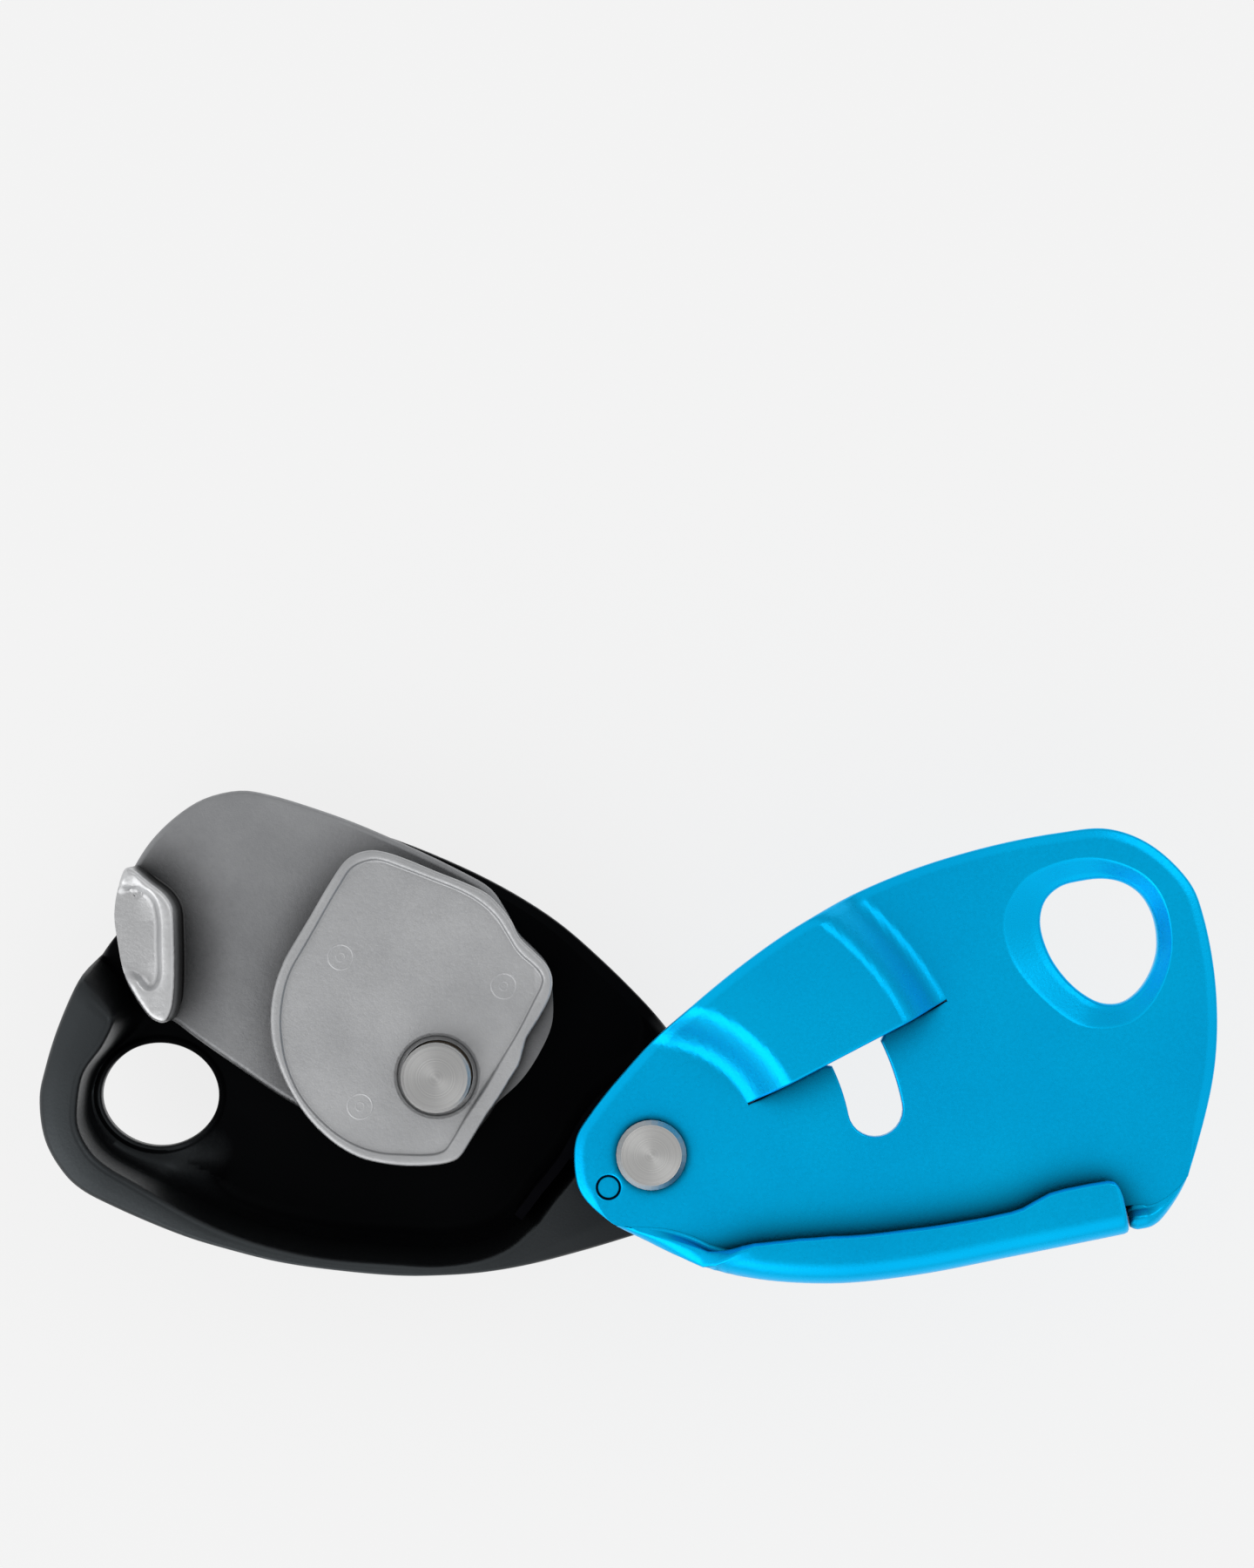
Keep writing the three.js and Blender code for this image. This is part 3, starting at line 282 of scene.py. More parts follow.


# The black tray: its specular level is painted by height, strong on the rim as painted sheen and near nothing on the
# deep floor as painted shade
def blackTray(name):
    material = anodised(name, (0.0012, 0.0012, 0.0015), (0.0022, 0.0022, 0.0026), 0.0, 0.38, 0.3)
    tree = material.node_tree
    parts = split(tree, addNode(tree, "ShaderNodeTexCoord", {}).outputs["Object"])
    height = spread(tree, parts["Z"], 0, 1, 0.0, 0.028)
    level = ramp(tree, height, [(0.36, 0.4), (0.4, 0.03), (0.45, 0.03), (0.5, 0.3), (0.62, 0.5), (0.9, 0.85)])
    # The light on its rim fades towards the hinge, over the tray's length
    along = spread(tree, parts["X"], 0, 1, pivotAt.x - 0.08, pivotAt.x)
    fade = ramp(tree, along, [
        (0.03, 0.95), (0.12, 0.66), (0.22, 0.72), (0.34, 0.92),
        (0.64, 0.96), (0.76, 0.72), (0.88, 0.48), (0.98, 0.36),
    ])
    feed(tree, tree.nodes["Principled BSDF"], {
        "Specular IOR Level": scalarMath(tree, "MULTIPLY", level, fade),
        "Specular Tint": (0.84, 0.94, 1.0, 1.0),
    })
    return material


def fromCentre(tree, place, centre):
    return vectorMath(tree, "SUBTRACT", place, (centre[0], centre[1], 0)).outputs[0]


def distanceFrom(tree, place, centre):
    flat = vectorMath(tree, "MULTIPLY", fromCentre(tree, place, centre), (1, 1, 0)).outputs[0]
    return vectorMath(tree, "LENGTH", flat).outputs["Value"]


# Cast steel: blasted grain over slow waves, and the round marks that the mould's pins leave
def castMetal(name, low, high, rough, fold=None, marks=(), shadow=None):
    material, tree, shader, place = startMaterial(name)
    broad = noise(tree, place, 120, 3)
    grain = noise(tree, place, 1900, 4, 0.7)
    color = ramp(tree, broad, [(0.3, low), (0.7, high)])
    # Painted shade: the colour is darkened in folds and under edges
    if fold:
        color = paintedFoldShade(tree, color, *fold)
    # Painted shade, darker towards the foot
    if shadow:
        color = paintedShadeBelow(tree, color, place, *shadow)
    surface = bump(tree, broad, 0.02, grains["castWave"])
    surface = bump(tree, grain, 0.35, grains["cast"], surface)
    for x, y, radius in marks:
        away = distanceFrom(tree, place, (x, y))
        for reach, strength in ((radius, 0.8), (0.35 * radius, 0.4)):
            off = scalarMath(tree, "ABSOLUTE", scalarMath(tree, "SUBTRACT", away, reach))
            line = spread(tree, off, 1, 0, 0, grains["markLine"])
            surface = bump(tree, line, strength, grains["markDepth"], surface)
    feed(tree, shader, {
        "Base Color": color,
        "Metallic": 1,
        "Roughness": spread(tree, grain, rough - 0.07, rough + 0.09),
        "Normal": surface,
    })
    return material


# Turned steel: fine rings about an upright axis, with the fan of light that they throw
def turnedMetal(name, centre, low, high, rough, pitch):
    material, tree, shader, place = startMaterial(name)
    inputs = {"W": distanceFrom(tree, place, centre), "Scale": 1 / pitch, "Detail": 2}
    rings = addNode(tree, "ShaderNodeTexNoise", inputs, noise_dimensions="1D").outputs["Fac"]
    around = vectorMath(tree, "CROSS_PRODUCT", (0, 0, 1), fromCentre(tree, place, centre)).outputs[0]
    feed(tree, shader, {
        "Base Color": ramp(tree, rings, [(0.35, low), (0.65, high)]),
        "Metallic": 1,
        "Roughness": spread(tree, rings, rough - 0.04, rough + 0.06),
        "Normal": bump(tree, rings, 0.25, grains["turning"]),
        "Tangent": vectorMath(tree, "NORMALIZE", around).outputs[0],
        "Anisotropic": 0.75,
    })
    return material


def drawnMetal(name, color, rough):
    material, tree, shader, place = startMaterial(name)
    grain = noise(tree, place, 1500, 3)
    dark = tuple(0.8 * c for c in color)
    feed(tree, shader, {
        "Base Color": ramp(tree, noise(tree, place, 260, 2), [(0.35, dark), (0.65, color)]),
        "Metallic": 1,
        "Roughness": spread(tree, grain, rough - 0.05, rough + 0.07),
        "Normal": bump(tree, grain, 0.2, grains["etch"]),
    })
    return material


# Moulded plastic with a fine spark-eroded grain
def moulded(name, dark, plain, rough, grain):
    material, tree, shader, place = startMaterial(name)
    pits = addNode(tree, "ShaderNodeTexVoronoi", {"Vector": place, "Scale": 2400}).outputs["Distance"]
    feed(tree, shader, {
        "Base Color": ramp(tree, noise(tree, place, 60, 3), [(0.35, dark), (0.65, plain)]),
        "Roughness": spread(tree, noise(tree, place, 300, 3), rough - 0.05, rough + 0.08),
        "Normal": bump(tree, pits, grain, grains["pits"]),
    })
    return material


marks = {"radius": 1.6, "places": ((-12.4, 15.3), (8.6, 11.6), (-9.9, -3.9))}
pinMarks = [(axleAt.x + x / 1000, axleAt.y + y / 1000, marks["radius"] / 1000) for x, y in marks["places"]]
finishes = {
    "blueSheet": anodised("blueAnodised", (0.0, 0.487, 0.94), (0.0, 0.541, 0.995), 0.85, 0.31, 0.3, (0.008, 0.16)),
    "blackSheet": blackTray("blackAnodised"),
    "castFace": castMetal("castFace", (0.44, 0.446, 0.456), (0.51, 0.516, 0.526), 0.46, (0.0015, 0.45), pinMarks),
    # The groove's cast steel is a darker copy: partly its coarser cast surface, partly painted shade under the lip's
    # overhang
    "castGrooveToneAndShade": castMetal("castGrooveToneAndShade", (0.158, 0.161, 0.167), (0.214, 0.217, 0.224), 0.42, (0.008, 0.3)),
    # The nose's cast steel is a lighter copy, a painted highlight for the light it stands in, and painted shade darkens
    # it towards its foot
    "castNoseLitCopy": castMetal("castNoseLitCopy", (0.62, 0.626, 0.636), (0.70, 0.706, 0.716), 0.38, shadow=(19.0, 24.7, 0.1)),
    # The flange's cast steel is a darker copy: partly its coarser cast surface, partly painted shade for its low place
    # beside the lip
    "castFlangeToneAndShade": castMetal("castFlangeToneAndShade", (0.29, 0.295, 0.305), (0.35, 0.355, 0.365), 0.5, (0.009, 0.13)),
    "springSteel": drawnMetal("springSteel", (0.4, 0.4, 0.41), 0.32),
    "plateSteel": drawnMetal("plateSteel", (0.4, 0.4, 0.4), 0.35),
    # The friction plate's steel is painted near black, painted shade for the deep gap beside the tray's wall where it
    # sits
    "paintedShadeSteel": drawnMetal("paintedShadeSteel", (0.003, 0.003, 0.004), 0.5),
    "bronze": drawnMetal("bearingBronze", (0.16, 0.13, 0.1), 0.42),
    "blackNylon": moulded("blackNylon", (0.012, 0.012, 0.013), (0.02, 0.02, 0.021), 0.52, 0.4),
    "greyAcetal": moulded("greyAcetal", (0.1, 0.105, 0.11), (0.14, 0.145, 0.15), 0.42, 0.25),
    "axleSteel": turnedMetal("axleSteel", axleAt, (0.47, 0.47, 0.47), (0.54, 0.54, 0.535), 0.36, 0.00016),
    "rivetSteel": turnedMetal("rivetSteel", pivotAt, (0.52, 0.52, 0.515), (0.6, 0.6, 0.59), 0.38, 0.00014),
}
print("finishes made")


# Lines are lists of points in millimetres; rings are their vertices in a mesh
tiny = 1e-4


def polar(distance, degrees, about=(0, 0)):
    return (about[0] + distance * cos(radians(degrees)), about[1] + distance * sin(radians(degrees)))


def turned(points, degrees):
    c, s = cos(radians(degrees)), sin(radians(degrees))
    return [(p[0] * c - p[1] * s, p[0] * s + p[1] * c, *p[2:]) for p in points]


def moved(points, by):
    return [(p[0] + by[0], p[1] + by[1], *p[2:]) for p in points]


def scaled(shares, size):
    return [(s[0] * size, s[1] * size) for s in shares]


# A smooth closed line through the points
def smoothLoop(points, steps):
    count = len(points)
    line = []
    for i in range(count):
        a, b, c, d = (Vector(points[(i + k) % count]) for k in (-1, 0, 1, 2))
        ab, bc, cd = (max((q - p).length ** 0.5, 1e-4) for p, q in ((a, b), (b, c), (c, d)))
        m1 = ((b - a) / ab - (c - a) / (ab + bc) + (c - b) / bc) * bc
        m2 = ((c - b) / bc - (d - b) / (bc + cd) + (d - c) / cd) * bc
        for k in range(steps):
            t = k / steps
            p = (2 * t**3 - 3 * t**2 + 1) * b + (t**3 - 2 * t**2 + t) * m1
            line.append(tuple(p + (3 * t**2 - 2 * t**3) * c + (t**3 - t**2) * m2))
    return line


# The inward side at each point of a closed line, whichever way round it runs
def inwardSides(points):
    area = sum(a[0] * b[1] - b[0] * a[1] for a, b in zip(points, points[1:] + points[:1]))
    way = 1 if area > 0 else -1
    sides = []
    for i in range(len(points)):
        a, b = points[i - 1], points[(i + 1) % len(points)]
        length = hypot(b[0] - a[0], b[1] - a[1]) or 1
        sides.append((-way * (b[1] - a[1]) / length, way * (b[0] - a[0]) / length))
    return sides


def shifted(points, distance):
    return [(p[0] + s[0] * distance, p[1] + s[1] * distance) for p, s in zip(points, inwardSides(points))]


# Eases the corners that crowd together in a line drawn far inside its outline
def relaxed(points, times):
    for _ in range(times):
        points = [
            ((a[0] + 2 * p[0] + b[0]) / 4, (a[1] + 2 * p[1] + b[1]) / 4)
            for a, p, b in zip(points[-1:] + points[:-1], points, points[1:] + points[:1])
        ]
    return points


def circle(centre, radius, sides=64):
    return [polar(radius, 360 * i / sides, centre) for i in range(sides)]


def atHeight(points, height):
    return [(p[0], p[1], height) for p in points]


def startRing(bm, points):
    ring = [bm.verts.new(p) for p in points]
    for i, vert in enumerate(ring):
        bm.edges.new((vert, ring[(i + 1) % len(ring)]))
    return ring


def ringEdges(bm, ring):
    return [bm.edges.get((vert, ring[(i + 1) % len(ring)])) for i, vert in enumerate(ring)]


# Pulls a new ring out of the last one and sets it on the given points
def nextRing(bm, ring, points):
    made = bmesh.ops.extrude_edge_only(bm, edges=ringEdges(bm, ring))["geom"]
    fresh = {g for g in made if isinstance(g, bmesh.types.BMVert)}
    grown = []
    for vert, point in zip(ring, points):
        other = next(e.other_vert(vert) for e in vert.link_edges if e.other_vert(vert) in fresh)
        other.co = point
        grown.append(other)
    return grown


def ringStack(bm, rings):
    ring = startRing(bm, rings[0])
    stack = [ring]
    for points in rings[1:]:
        ring = nextRing(bm, ring, points)
        stack.append(ring)
    return stack


def fillFlat(bm, *rings):
    edges = [edge for ring in rings for edge in ringEdges(bm, ring)]
    return bmesh.ops.triangle_fill(bm, use_beauty=True, use_dissolve=False, edges=edges)["geom"]


# Cuts the faces that reach into a zone along a square grid, so that they can be bent
def diceFaces(bm, step, low, high, inZone=None):
    for axis, normal in ((0, (1, 0, 0)), (1, (0, 1, 0))):
        at = low[axis] + step
        while at < high[axis]:
            cut = Vector((at, 0, 0)) if axis == 0 else Vector((0, at, 0))
            faces = []
            for face in bm.faces:
                sides = [v.co[axis] for v in face.verts]
                if min(sides) < at - tiny and max(sides) > at + tiny and (inZone is None or inZone(face)):
                    faces.append(face)
            if faces:
                edges = {e for f in faces for e in f.edges}
                verts = {v for f in faces for v in f.verts}
                bmesh.ops.bisect_plane(bm, geom=[*faces, *edges, *verts], dist=tiny, plane_co=cut, plane_no=normal)
            at += step


# Steps round a quarter turn: how far each has gone along and across, from 0 to 1
def quarterTurn(steps):
    return [(sin(pi / 2 * k / steps), 1 - cos(pi / 2 * k / steps)) for k in range(steps + 1)]


# Rings about an upright axis, from radii and heights
def turnedRings(centre, sides, profile):
    return [atHeight(circle(centre, r, sides), z) for r, z in profile]


def turnedStack(bm, centre, sides, profile):
    return ringStack(bm, turnedRings(centre, sides, profile))


def fillEnds(bm, stack):
    fillFlat(bm, stack[0])
    fillFlat(bm, stack[-1])


def turnOpen(bm):
    turn = Matrix.Rotation(radians(plan["openTurn"]), 3, "Z")
    bmesh.ops.rotate(bm, cent=(0, 0, 0), matrix=turn, verts=bm.verts)


# A turned hole or rim: rings from the front sheet's edge, round to the back sheet's edge
def roundedRim(line, inwards, edge, thick, steps=3):
    profile = [(edge * (1 - along), -edge * across) for along, across in quarterTurn(steps)]
    profile += [(edge * across, -thick + edge * (1 - along)) for along, across in quarterTurn(steps)]
    return [atHeight(shifted(line, inwards * inset), drop) for inset, drop in profile]


def finishPiece(bm, name, body, finish, stands=(), smooth=38):
    bmesh.ops.remove_doubles(bm, verts=bm.verts, dist=tiny)
    bmesh.ops.recalc_face_normals(bm, faces=bm.faces)
    bmesh.ops.scale(bm, vec=(0.001, 0.001, 0.001), verts=bm.verts)
    bmesh.ops.translate(bm, vec=(pivotAt.x, pivotAt.y, 0), verts=bm.verts)
    mesh = bpy.data.meshes.new(name)
    bm.to_mesh(mesh)
    bm.free()
    mesh.shade_smooth()
    mesh.set_sharp_from_angle(angle=radians(smooth))
    mesh.materials.append(finish)
    thing = bpy.data.objects.new(name, mesh)
    bpy.context.scene.collection.objects.link(thing)
    weighted = thing.modifiers.new("weighted", "WEIGHTED_NORMAL")
    weighted.keep_sharp = True
    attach(thing, body)
    if stands:
        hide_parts(*stands)


def easeStep(value, low, high):
    t = min(1, max(0, (value - low) / (high - low)))
    return t * t * (3 - 2 * t)


def radialTable(points, about):
    offsets = [(p[0] - about[0], p[1] - about[1]) for p in points]
    table = sorted((atan2(dy, dx), hypot(dx, dy)) for dx, dy in offsets)

    def reachAt(angle):
        before, after = table[-1], table[0]
        gap = after[0] + 2 * pi - before[0]
        share = (angle - before[0]) % (2 * pi) / gap
        for a, b in zip(table, table[1:]):
            if a[0] <= angle < b[0]:
                before, after = a, b
                share = (angle - a[0]) / (b[0] - a[0])
                break
        return before[1] + (after[1] - before[1]) * share

    return reachAt


# Tray: the fixed side plate. Lengths are in millimetres and turns in degrees, here and in the other pieces
tray = {
    "reach": 79.6,
    "thick": 2.5,
    "wall": 2.0,
    "wallRun": 1.2,
    "edgeRound": 0.7,
    "rimRound": 1.1,
    "floorRound": 3.2,
    "underRound": 1.0,
    "backRound": 2.0,
    "steps": 7,
    "hole": (64.6, 7.5, 6.6),
    "holeTurn": 173.9,
    "holeLip": 1.1,
    "bossTurn": 235,
    "bossRise": 4.2,
    "bossFlat": 1.4,
    "bossReach": 8.0,
    "rimDrop": 1.5,
    "fold": 0.45,
    "pinSlot": (176, 204, 9.8, 1.8),
    "plainHoles": (3.0, 3.4, 3.7),
    "holeEdge": 0.35,
    "dice": (4.0, 0.8),
}
# Each row holds an outer and an inner point, as shares of the reach, and the wall's height
trayRowShares = [
    (0.996, 0.037, 0.932, 0.03, 1), (0.978, 0.105, 0.926, 0.075, 1), (0.942, 0.153, 0.901, 0.112, 1),
    (0.911, 0.176, 0.873, 0.132, 1), (0.852, 0.198, 0.824, 0.153, 1), (0.734, 0.23, 0.717, 0.197, 1),
    (0.655, 0.243, 0.648, 0.217, 1), (0.578, 0.252, 0.575, 0.229, 1), (0.501, 0.254, 0.501, 0.234, 1),
    (0.384, 0.25, 0.387, 0.229, 1), (0.315, 0.241, 0.322, 0.224, 1), (0.245, 0.227, 0.259, 0.207, 1),
    (0.171, 0.205, 0.212, 0.181, 1), (0.098, 0.177, 0.178, 0.143, 1), (0.012, 0.139, 0.152, 0.098, 1),
    (-0.069, 0.101, 0.131, 0.065, 1), (-0.118, 0.058, 0.113, 0.033, 1), (-0.133, 0.003, 0.098, -0.006, 1),
    (-0.118, -0.055, 0.075, -0.05, 1), (-0.075, -0.116, 0.033, -0.095, 1), (-0.038, -0.158, -0.006, -0.133, 0.9),
    (0.008, -0.205, 0.023, -0.19, 0.15), (0.116, -0.291, 0.128, -0.275, -0.1),
    (0.217, -0.356, 0.225, -0.342, -0.1), (0.368, -0.417, 0.372, -0.401, -0.1),
    (0.567, -0.46, 0.565, -0.441, -0.1), (0.691, -0.445, 0.682, -0.428, -0.1),
    (0.785, -0.389, 0.771, -0.377, -0.1), (0.858, -0.314, 0.842, -0.304, -0.1),
    (0.917, -0.238, 0.896, -0.224, -1.4), (0.954, -0.168, 0.888, -0.112, 0.9), (0.981, -0.08, 0.902, -0.062, 1),
    (0.993, -0.01, 0.928, -0.012, 1),
]

holeDistance, holeLong, holeShort = tray["hole"]
trayHoleAt = polar(holeDistance, tray["holeTurn"])
trayHole = [(c[0] * holeLong, c[1] * holeShort) for c in circle((0, 0), 1, 96)]
trayHole = moved(turned(trayHole, plan["fixedTurn"]), trayHoleAt)
holeReachAt = radialTable(trayHole, trayHoleAt)


# How far outside the hole's edge a point lies, and in which direction
def fromHole(x, y):
    dx, dy = x - trayHoleAt[0], y - trayHoleAt[1]
    return hypot(dx, dy) - holeReachAt(atan2(dy, dx)), atan2(dy, dx)


# The swelling that carries the hole's lower side
def trayBoss(x, y):
    away, turn = fromHole(x, y)
    facing = easeStep(cos(turn - radians(tray["bossTurn"])), -0.35, 0.75)
    return tray["bossRise"] * facing * (1 - easeStep(away, tray["bossFlat"], tray["bossReach"]))


def buildTray():
    reach, front, back = tray["reach"], levels["fixedFront"], levels["fixedBack"]
    depth = levels["rimFront"] - front
    rows = [[(r[k] * reach, r[k + 1] * reach, r[4]) for r in trayRowShares] for k in (0, 2)]
    outer, inner = (turned(smoothLoop(row, tray["steps"]), plan["fixedTurn"]) for row in rows)
    rise = [depth * min(1, max(0, p[2])) for p in inner]
    widths = [hypot(q[0] - p[0], q[1] - p[1]) for p, q in zip(inner, outer)]
    sides = inwardSides(inner)
    thick, wall, hollow = tray["thick"], tray["wall"], tray["floorRound"]
    edge, lipRound = tray["edgeRound"], tray["rimRound"]
    run = lambda h: tray["wallRun"] * h / depth
    share = lambda length, width: length / max(width, 0.01)
    grow = lambda h: min(1, h / 3)
    # Beside the hole the wall's foot stops short of the hole's lip
    room = [max(0.5, fromHole(p[0], p[1])[0] - tray["holeLip"]) for p in inner]
    fit = [min(1, space / (tray["wallRun"] + hollow)) for space in room]
    foot = [
        trayBoss(p[0] + side[0] * space * part, p[1] + side[1] * space * part)
        for p, side, space, part in zip(inner, sides, room, fit)
    ]
    slope = [tray["rimDrop"] * easeStep(width, 1.5, 7) for width in widths]

    # One section of the pressed wall: how far over from the inner to the outer edge, how far inwards, and how high
    def ringAt(over, inwards, height, lift=0.0):
        points = []
        for i, (p, q, side) in enumerate(zip(inner, outer, sides)):
            a = over(widths[i])
            push = inwards(rise[i]) * fit[i]
            z = height(rise[i]) + lift * foot[i] - slope[i] * a * a
            if rise[i] < 0.01 and a > 0 and lift == 0:
                z -= tray["fold"] * a
            points.append((p[0] + (q[0] - p[0]) * a + side[0] * push, p[1] + (q[1] - p[1]) * a + side[1] * push, z))
        return points

    # From the floor up the wall, over the rim to its outer edge, and back below
    rings = []
    for along, across in quarterTurn(6):
        rings.append(ringAt(
            lambda w: 0,
            lambda h: run(h) + hollow * grow(h) * (1 - along),
            lambda h: front + min(hollow * 1.6, 0.6 * h) * across,
            lift=1 - 0.25 * across,
        ))
    for along, across in quarterTurn(4):
        rings.append(ringAt(
            lambda w: min(0.45, share(lipRound, w)) * across,
            lambda h: 0,
            lambda h: front + h - lipRound * grow(h) * (1 - along),
        ))
    for k in range(1, 4):
        rings.append(ringAt(lambda w: 0.45 + 0.12 * k, lambda h: 0, lambda h: front + h))
    for along, across in quarterTurn(4):
        rings.append(ringAt(
            lambda w: 1 - min(0.18, share(edge, w)) * (1 - along),
            lambda h: 0,
            lambda h: front + h - edge * across,
        ))
    for along, across in quarterTurn(4):
        rings.append(ringAt(
            lambda w: 1 - min(0.15, share(edge, w)) * across,
            lambda h: 0,
            lambda h: front + h - thick + edge * (1 - along),
        ))
    for along, across in quarterTurn(4):
        rings.append(ringAt(
            lambda w: min(0.85, share(wall, w)) + min(0.15, share(tray["underRound"], w)) * (1 - along),
            lambda h: 0,
            lambda h: front + h - thick - tray["underRound"] * grow(h) * across,
        ))
    for along, across in quarterTurn(4):
        rings.append(ringAt(
            lambda w: min(0.85, share(wall, w)),
            lambda h: run(h) + tray["backRound"] * grow(h) * across,
            lambda h: back + tray["backRound"] * grow(h) * (1 - along),
            lift=(1 - across) * 0.999 + 0.001,
        ))
    bm = bmesh.new()
    stack = ringStack(bm, rings)
    slotFrom, slotTo, slotAway, slotHalf = tray["pinSlot"]
    sweep = [(slotTo - slotFrom) * i / 10 for i in range(11)]
    bent = [polar(slotAway + slotHalf, slotFrom + a, plan["axle"]) for a in sweep]
    bent += [polar(slotAway - slotHalf, slotTo - a, plan["axle"]) for a in sweep]
    centres = ((0, 0), plan["axle"], plan["selector"])
    lines = [circle(centre, radius, 48) for centre, radius in zip(centres, tray["plainHoles"])]
    topRings, backRings = [], []
    for line in (*lines, bent):
        rims = roundedRim(line, -1, tray["holeEdge"], front - back)
        hole = ringStack(bm, [atHeight(points, front + points[0][2]) for points in rims])
        topRings.append(hole[0])
        backRings.append(hole[-1])
    # The carabiner hole has a raised lip
    lip = tray["holeLip"]
    profile = [(1, 0), (0.86, 0.06), (0.68, 0.32), (0.45, 0.42), (0.2, 0.3), (0.05, 0.05)]
    profile = [(part * lip, up) for part, up in profile]
    profile += [(0, -0.3), (0, back - front + 0.4), (0.12, back - front + 0.12), (0.4, back - front)]
    hole = ringStack(bm, [atHeight(shifted(trayHole, -out), front + up) for out, up in profile])
    for ring, level in ((stack[0], front), (stack[-1], back)):
        for vert in ring:
            vert.co.z = level
    fillFlat(bm, stack[0], *topRings, hole[0])
    fillFlat(bm, stack[-1], *backRings, hole[-1])
    zone = tray["bossReach"] + 9
    bm.normal_update()
    low, high = [c - zone for c in trayHoleAt], [c + zone for c in trayHoleAt]

    def isFlat(face):
        return all(abs(v.co.z - front) < 0.01 or abs(v.co.z - back) < 0.01 for v in face.verts)

    def inFloor(face):
        xs, ys = [v.co.x for v in face.verts], [v.co.y for v in face.verts]
        return isFlat(face) and max(xs) > low[0] and min(xs) < high[0] and max(ys) > low[1] and min(ys) < high[1]

    coarse, fine = tray["dice"]
    diceFaces(bm, coarse, (-80, -40), (12, 40), isFlat)
    diceFaces(bm, fine, low, high, inFloor)
    wallVerts = {v for ring in stack[1:-1] for v in ring}
    for vert in bm.verts:
        if vert not in wallVerts:
            vert.co.z += trayBoss(vert.co.x, vert.co.y)
    finishPiece(bm, "traySide", "frame", finishes["blackSheet"], ["fixed_side_plate"], smooth=45)


buildTray()
print("tray built")


# Blue side plate, drawn closed and turned open at the end
plate = {
    "reach": 76.9,
    "thick": 2.2,
    "edgeRound": 0.45,
    "coined": 1.5,
    "coinedDrop": 0.24,
    "steps": 9,
    "bridgeRise": 4.8,
    "bridge": (13.7, 20.5, 36.1, 43.0),
    "cutTurn": 2.0,
    "slit": 0.03,
    "dice": (5.0, 0.6),
    "slotHalf": 3.5,
    "slotDistance": 29.3,
    "slotTurn": -14.2,
    "dishDepth": 1.9,
    "hole": (64.4, 0.0),
    "eggReach": 8.6,
    "dishReach": 11.4,
    "holeSteps": 110,
    "rivetHole": 4.0,
    "holeEdge": 0.3,
    "stop": (6.92, 191.8, 1.5),
    "stopEdge": 0.22,
    "stopRoom": 0.08,
    "lipRadius": 3.0,
}
# The outline as shares of the reach, and the hole and its dish as shares of theirs
plateShares = [
    (-0.134, -0.008), (-0.127, 0.031), (-0.101, 0.079), (-0.06, 0.106), (0.006, 0.138), (0.105, 0.177),
    (0.279, 0.223), (0.419, 0.243), (0.574, 0.242), (0.717, 0.222), (0.844, 0.19), (0.922, 0.16), (0.974, 0.106),
    (1.006, 0.02), (1.002, -0.04), (0.969, -0.157), (0.91, -0.275), (0.82, -0.388), (0.757, -0.449),
    (0.709, -0.471), (0.66, -0.46), (0.47, -0.412), (0.31, -0.37), (0.178, -0.322), (0.051, -0.249),
    (-0.047, -0.16), (-0.114, -0.065),
]
eggShares = [
    (-0.837, 0.116), (-0.756, 0.593), (-0.547, 0.86), (-0.256, 0.953), (0.07, 0.895), (0.384, 0.779),
    (0.628, 0.593), (0.779, 0.337), (0.814, 0.023), (0.744, -0.302), (0.593, -0.593), (0.337, -0.837),
    (0.058, -0.977), (-0.198, -1), (-0.442, -0.884), (-0.628, -0.651), (-0.767, -0.326),
]
dishShares = [
    (-1.063, 0.266), (-0.933, 0.713), (-0.548, 0.984), (-0.14, 1.0), (0.208, 0.904), (0.484, 0.721), (0.714, 0.44),
    (0.789, 0.158), (0.728, -0.228), (0.544, -0.579), (0.219, -0.877), (-0.114, -1), (-0.439, -0.93),
    (-0.7, -0.76), (-0.988, -0.169),
]
# The rolled edge, by rows of the outline: how far it is rolled over (1 is half a turn), and the strip beyond the bend
curlStations = [
    (17.5, 0.0, 0.12), (17.9, 0.06, 0.6), (18.4, 0.14, 1.0), (18.8, 0.22, 1.3), (19.3, 0.29, 1.5),
    (19.93, 0.33, 1.6),
]
lipStations = [
    (19.98, 1.0, 2.3), (20.01, 1.0, 3.3), (20.05, 1.0, 3.95), (20.12, 1.0, 4.25), (20.3, 1.0, 4.35),
    (20.5, 1.0, 4.35), (20.62, 1.0, 4.2), (20.74, 1.0, 3.6), (20.85, 1.0, 3.0), (20.95, 1.0, 2.8),
    (21.2, 1.0, 2.75), (22, 1.0, 3.1), (23, 1.0, 3.2), (23.4, 1.0, 2.8), (23.7, 1.0, 2.2), (23.95, 0.98, 1.7),
    (24.1, 0.92, 1.4), (24.24, 0.8, 1.2), (24.38, 0.65, 1.2), (24.52, 0.5, 1.2), (24.72, 0.4, 1.3),
    (24.95, 0.3, 1.3), (25.2, 0.2, 1.2), (25.5, 0.08, 0.8), (25.8, 0.0, 0.1),
]

eggLine = moved(smoothLoop(scaled(eggShares, plate["eggReach"]), 6), plate["hole"])
dishLine = moved(smoothLoop(scaled(dishShares, plate["dishReach"]), 6), plate["hole"])
eggReachAt = radialTable(eggLine, plate["hole"])
dishReachAt = radialTable(dishLine, plate["hole"])


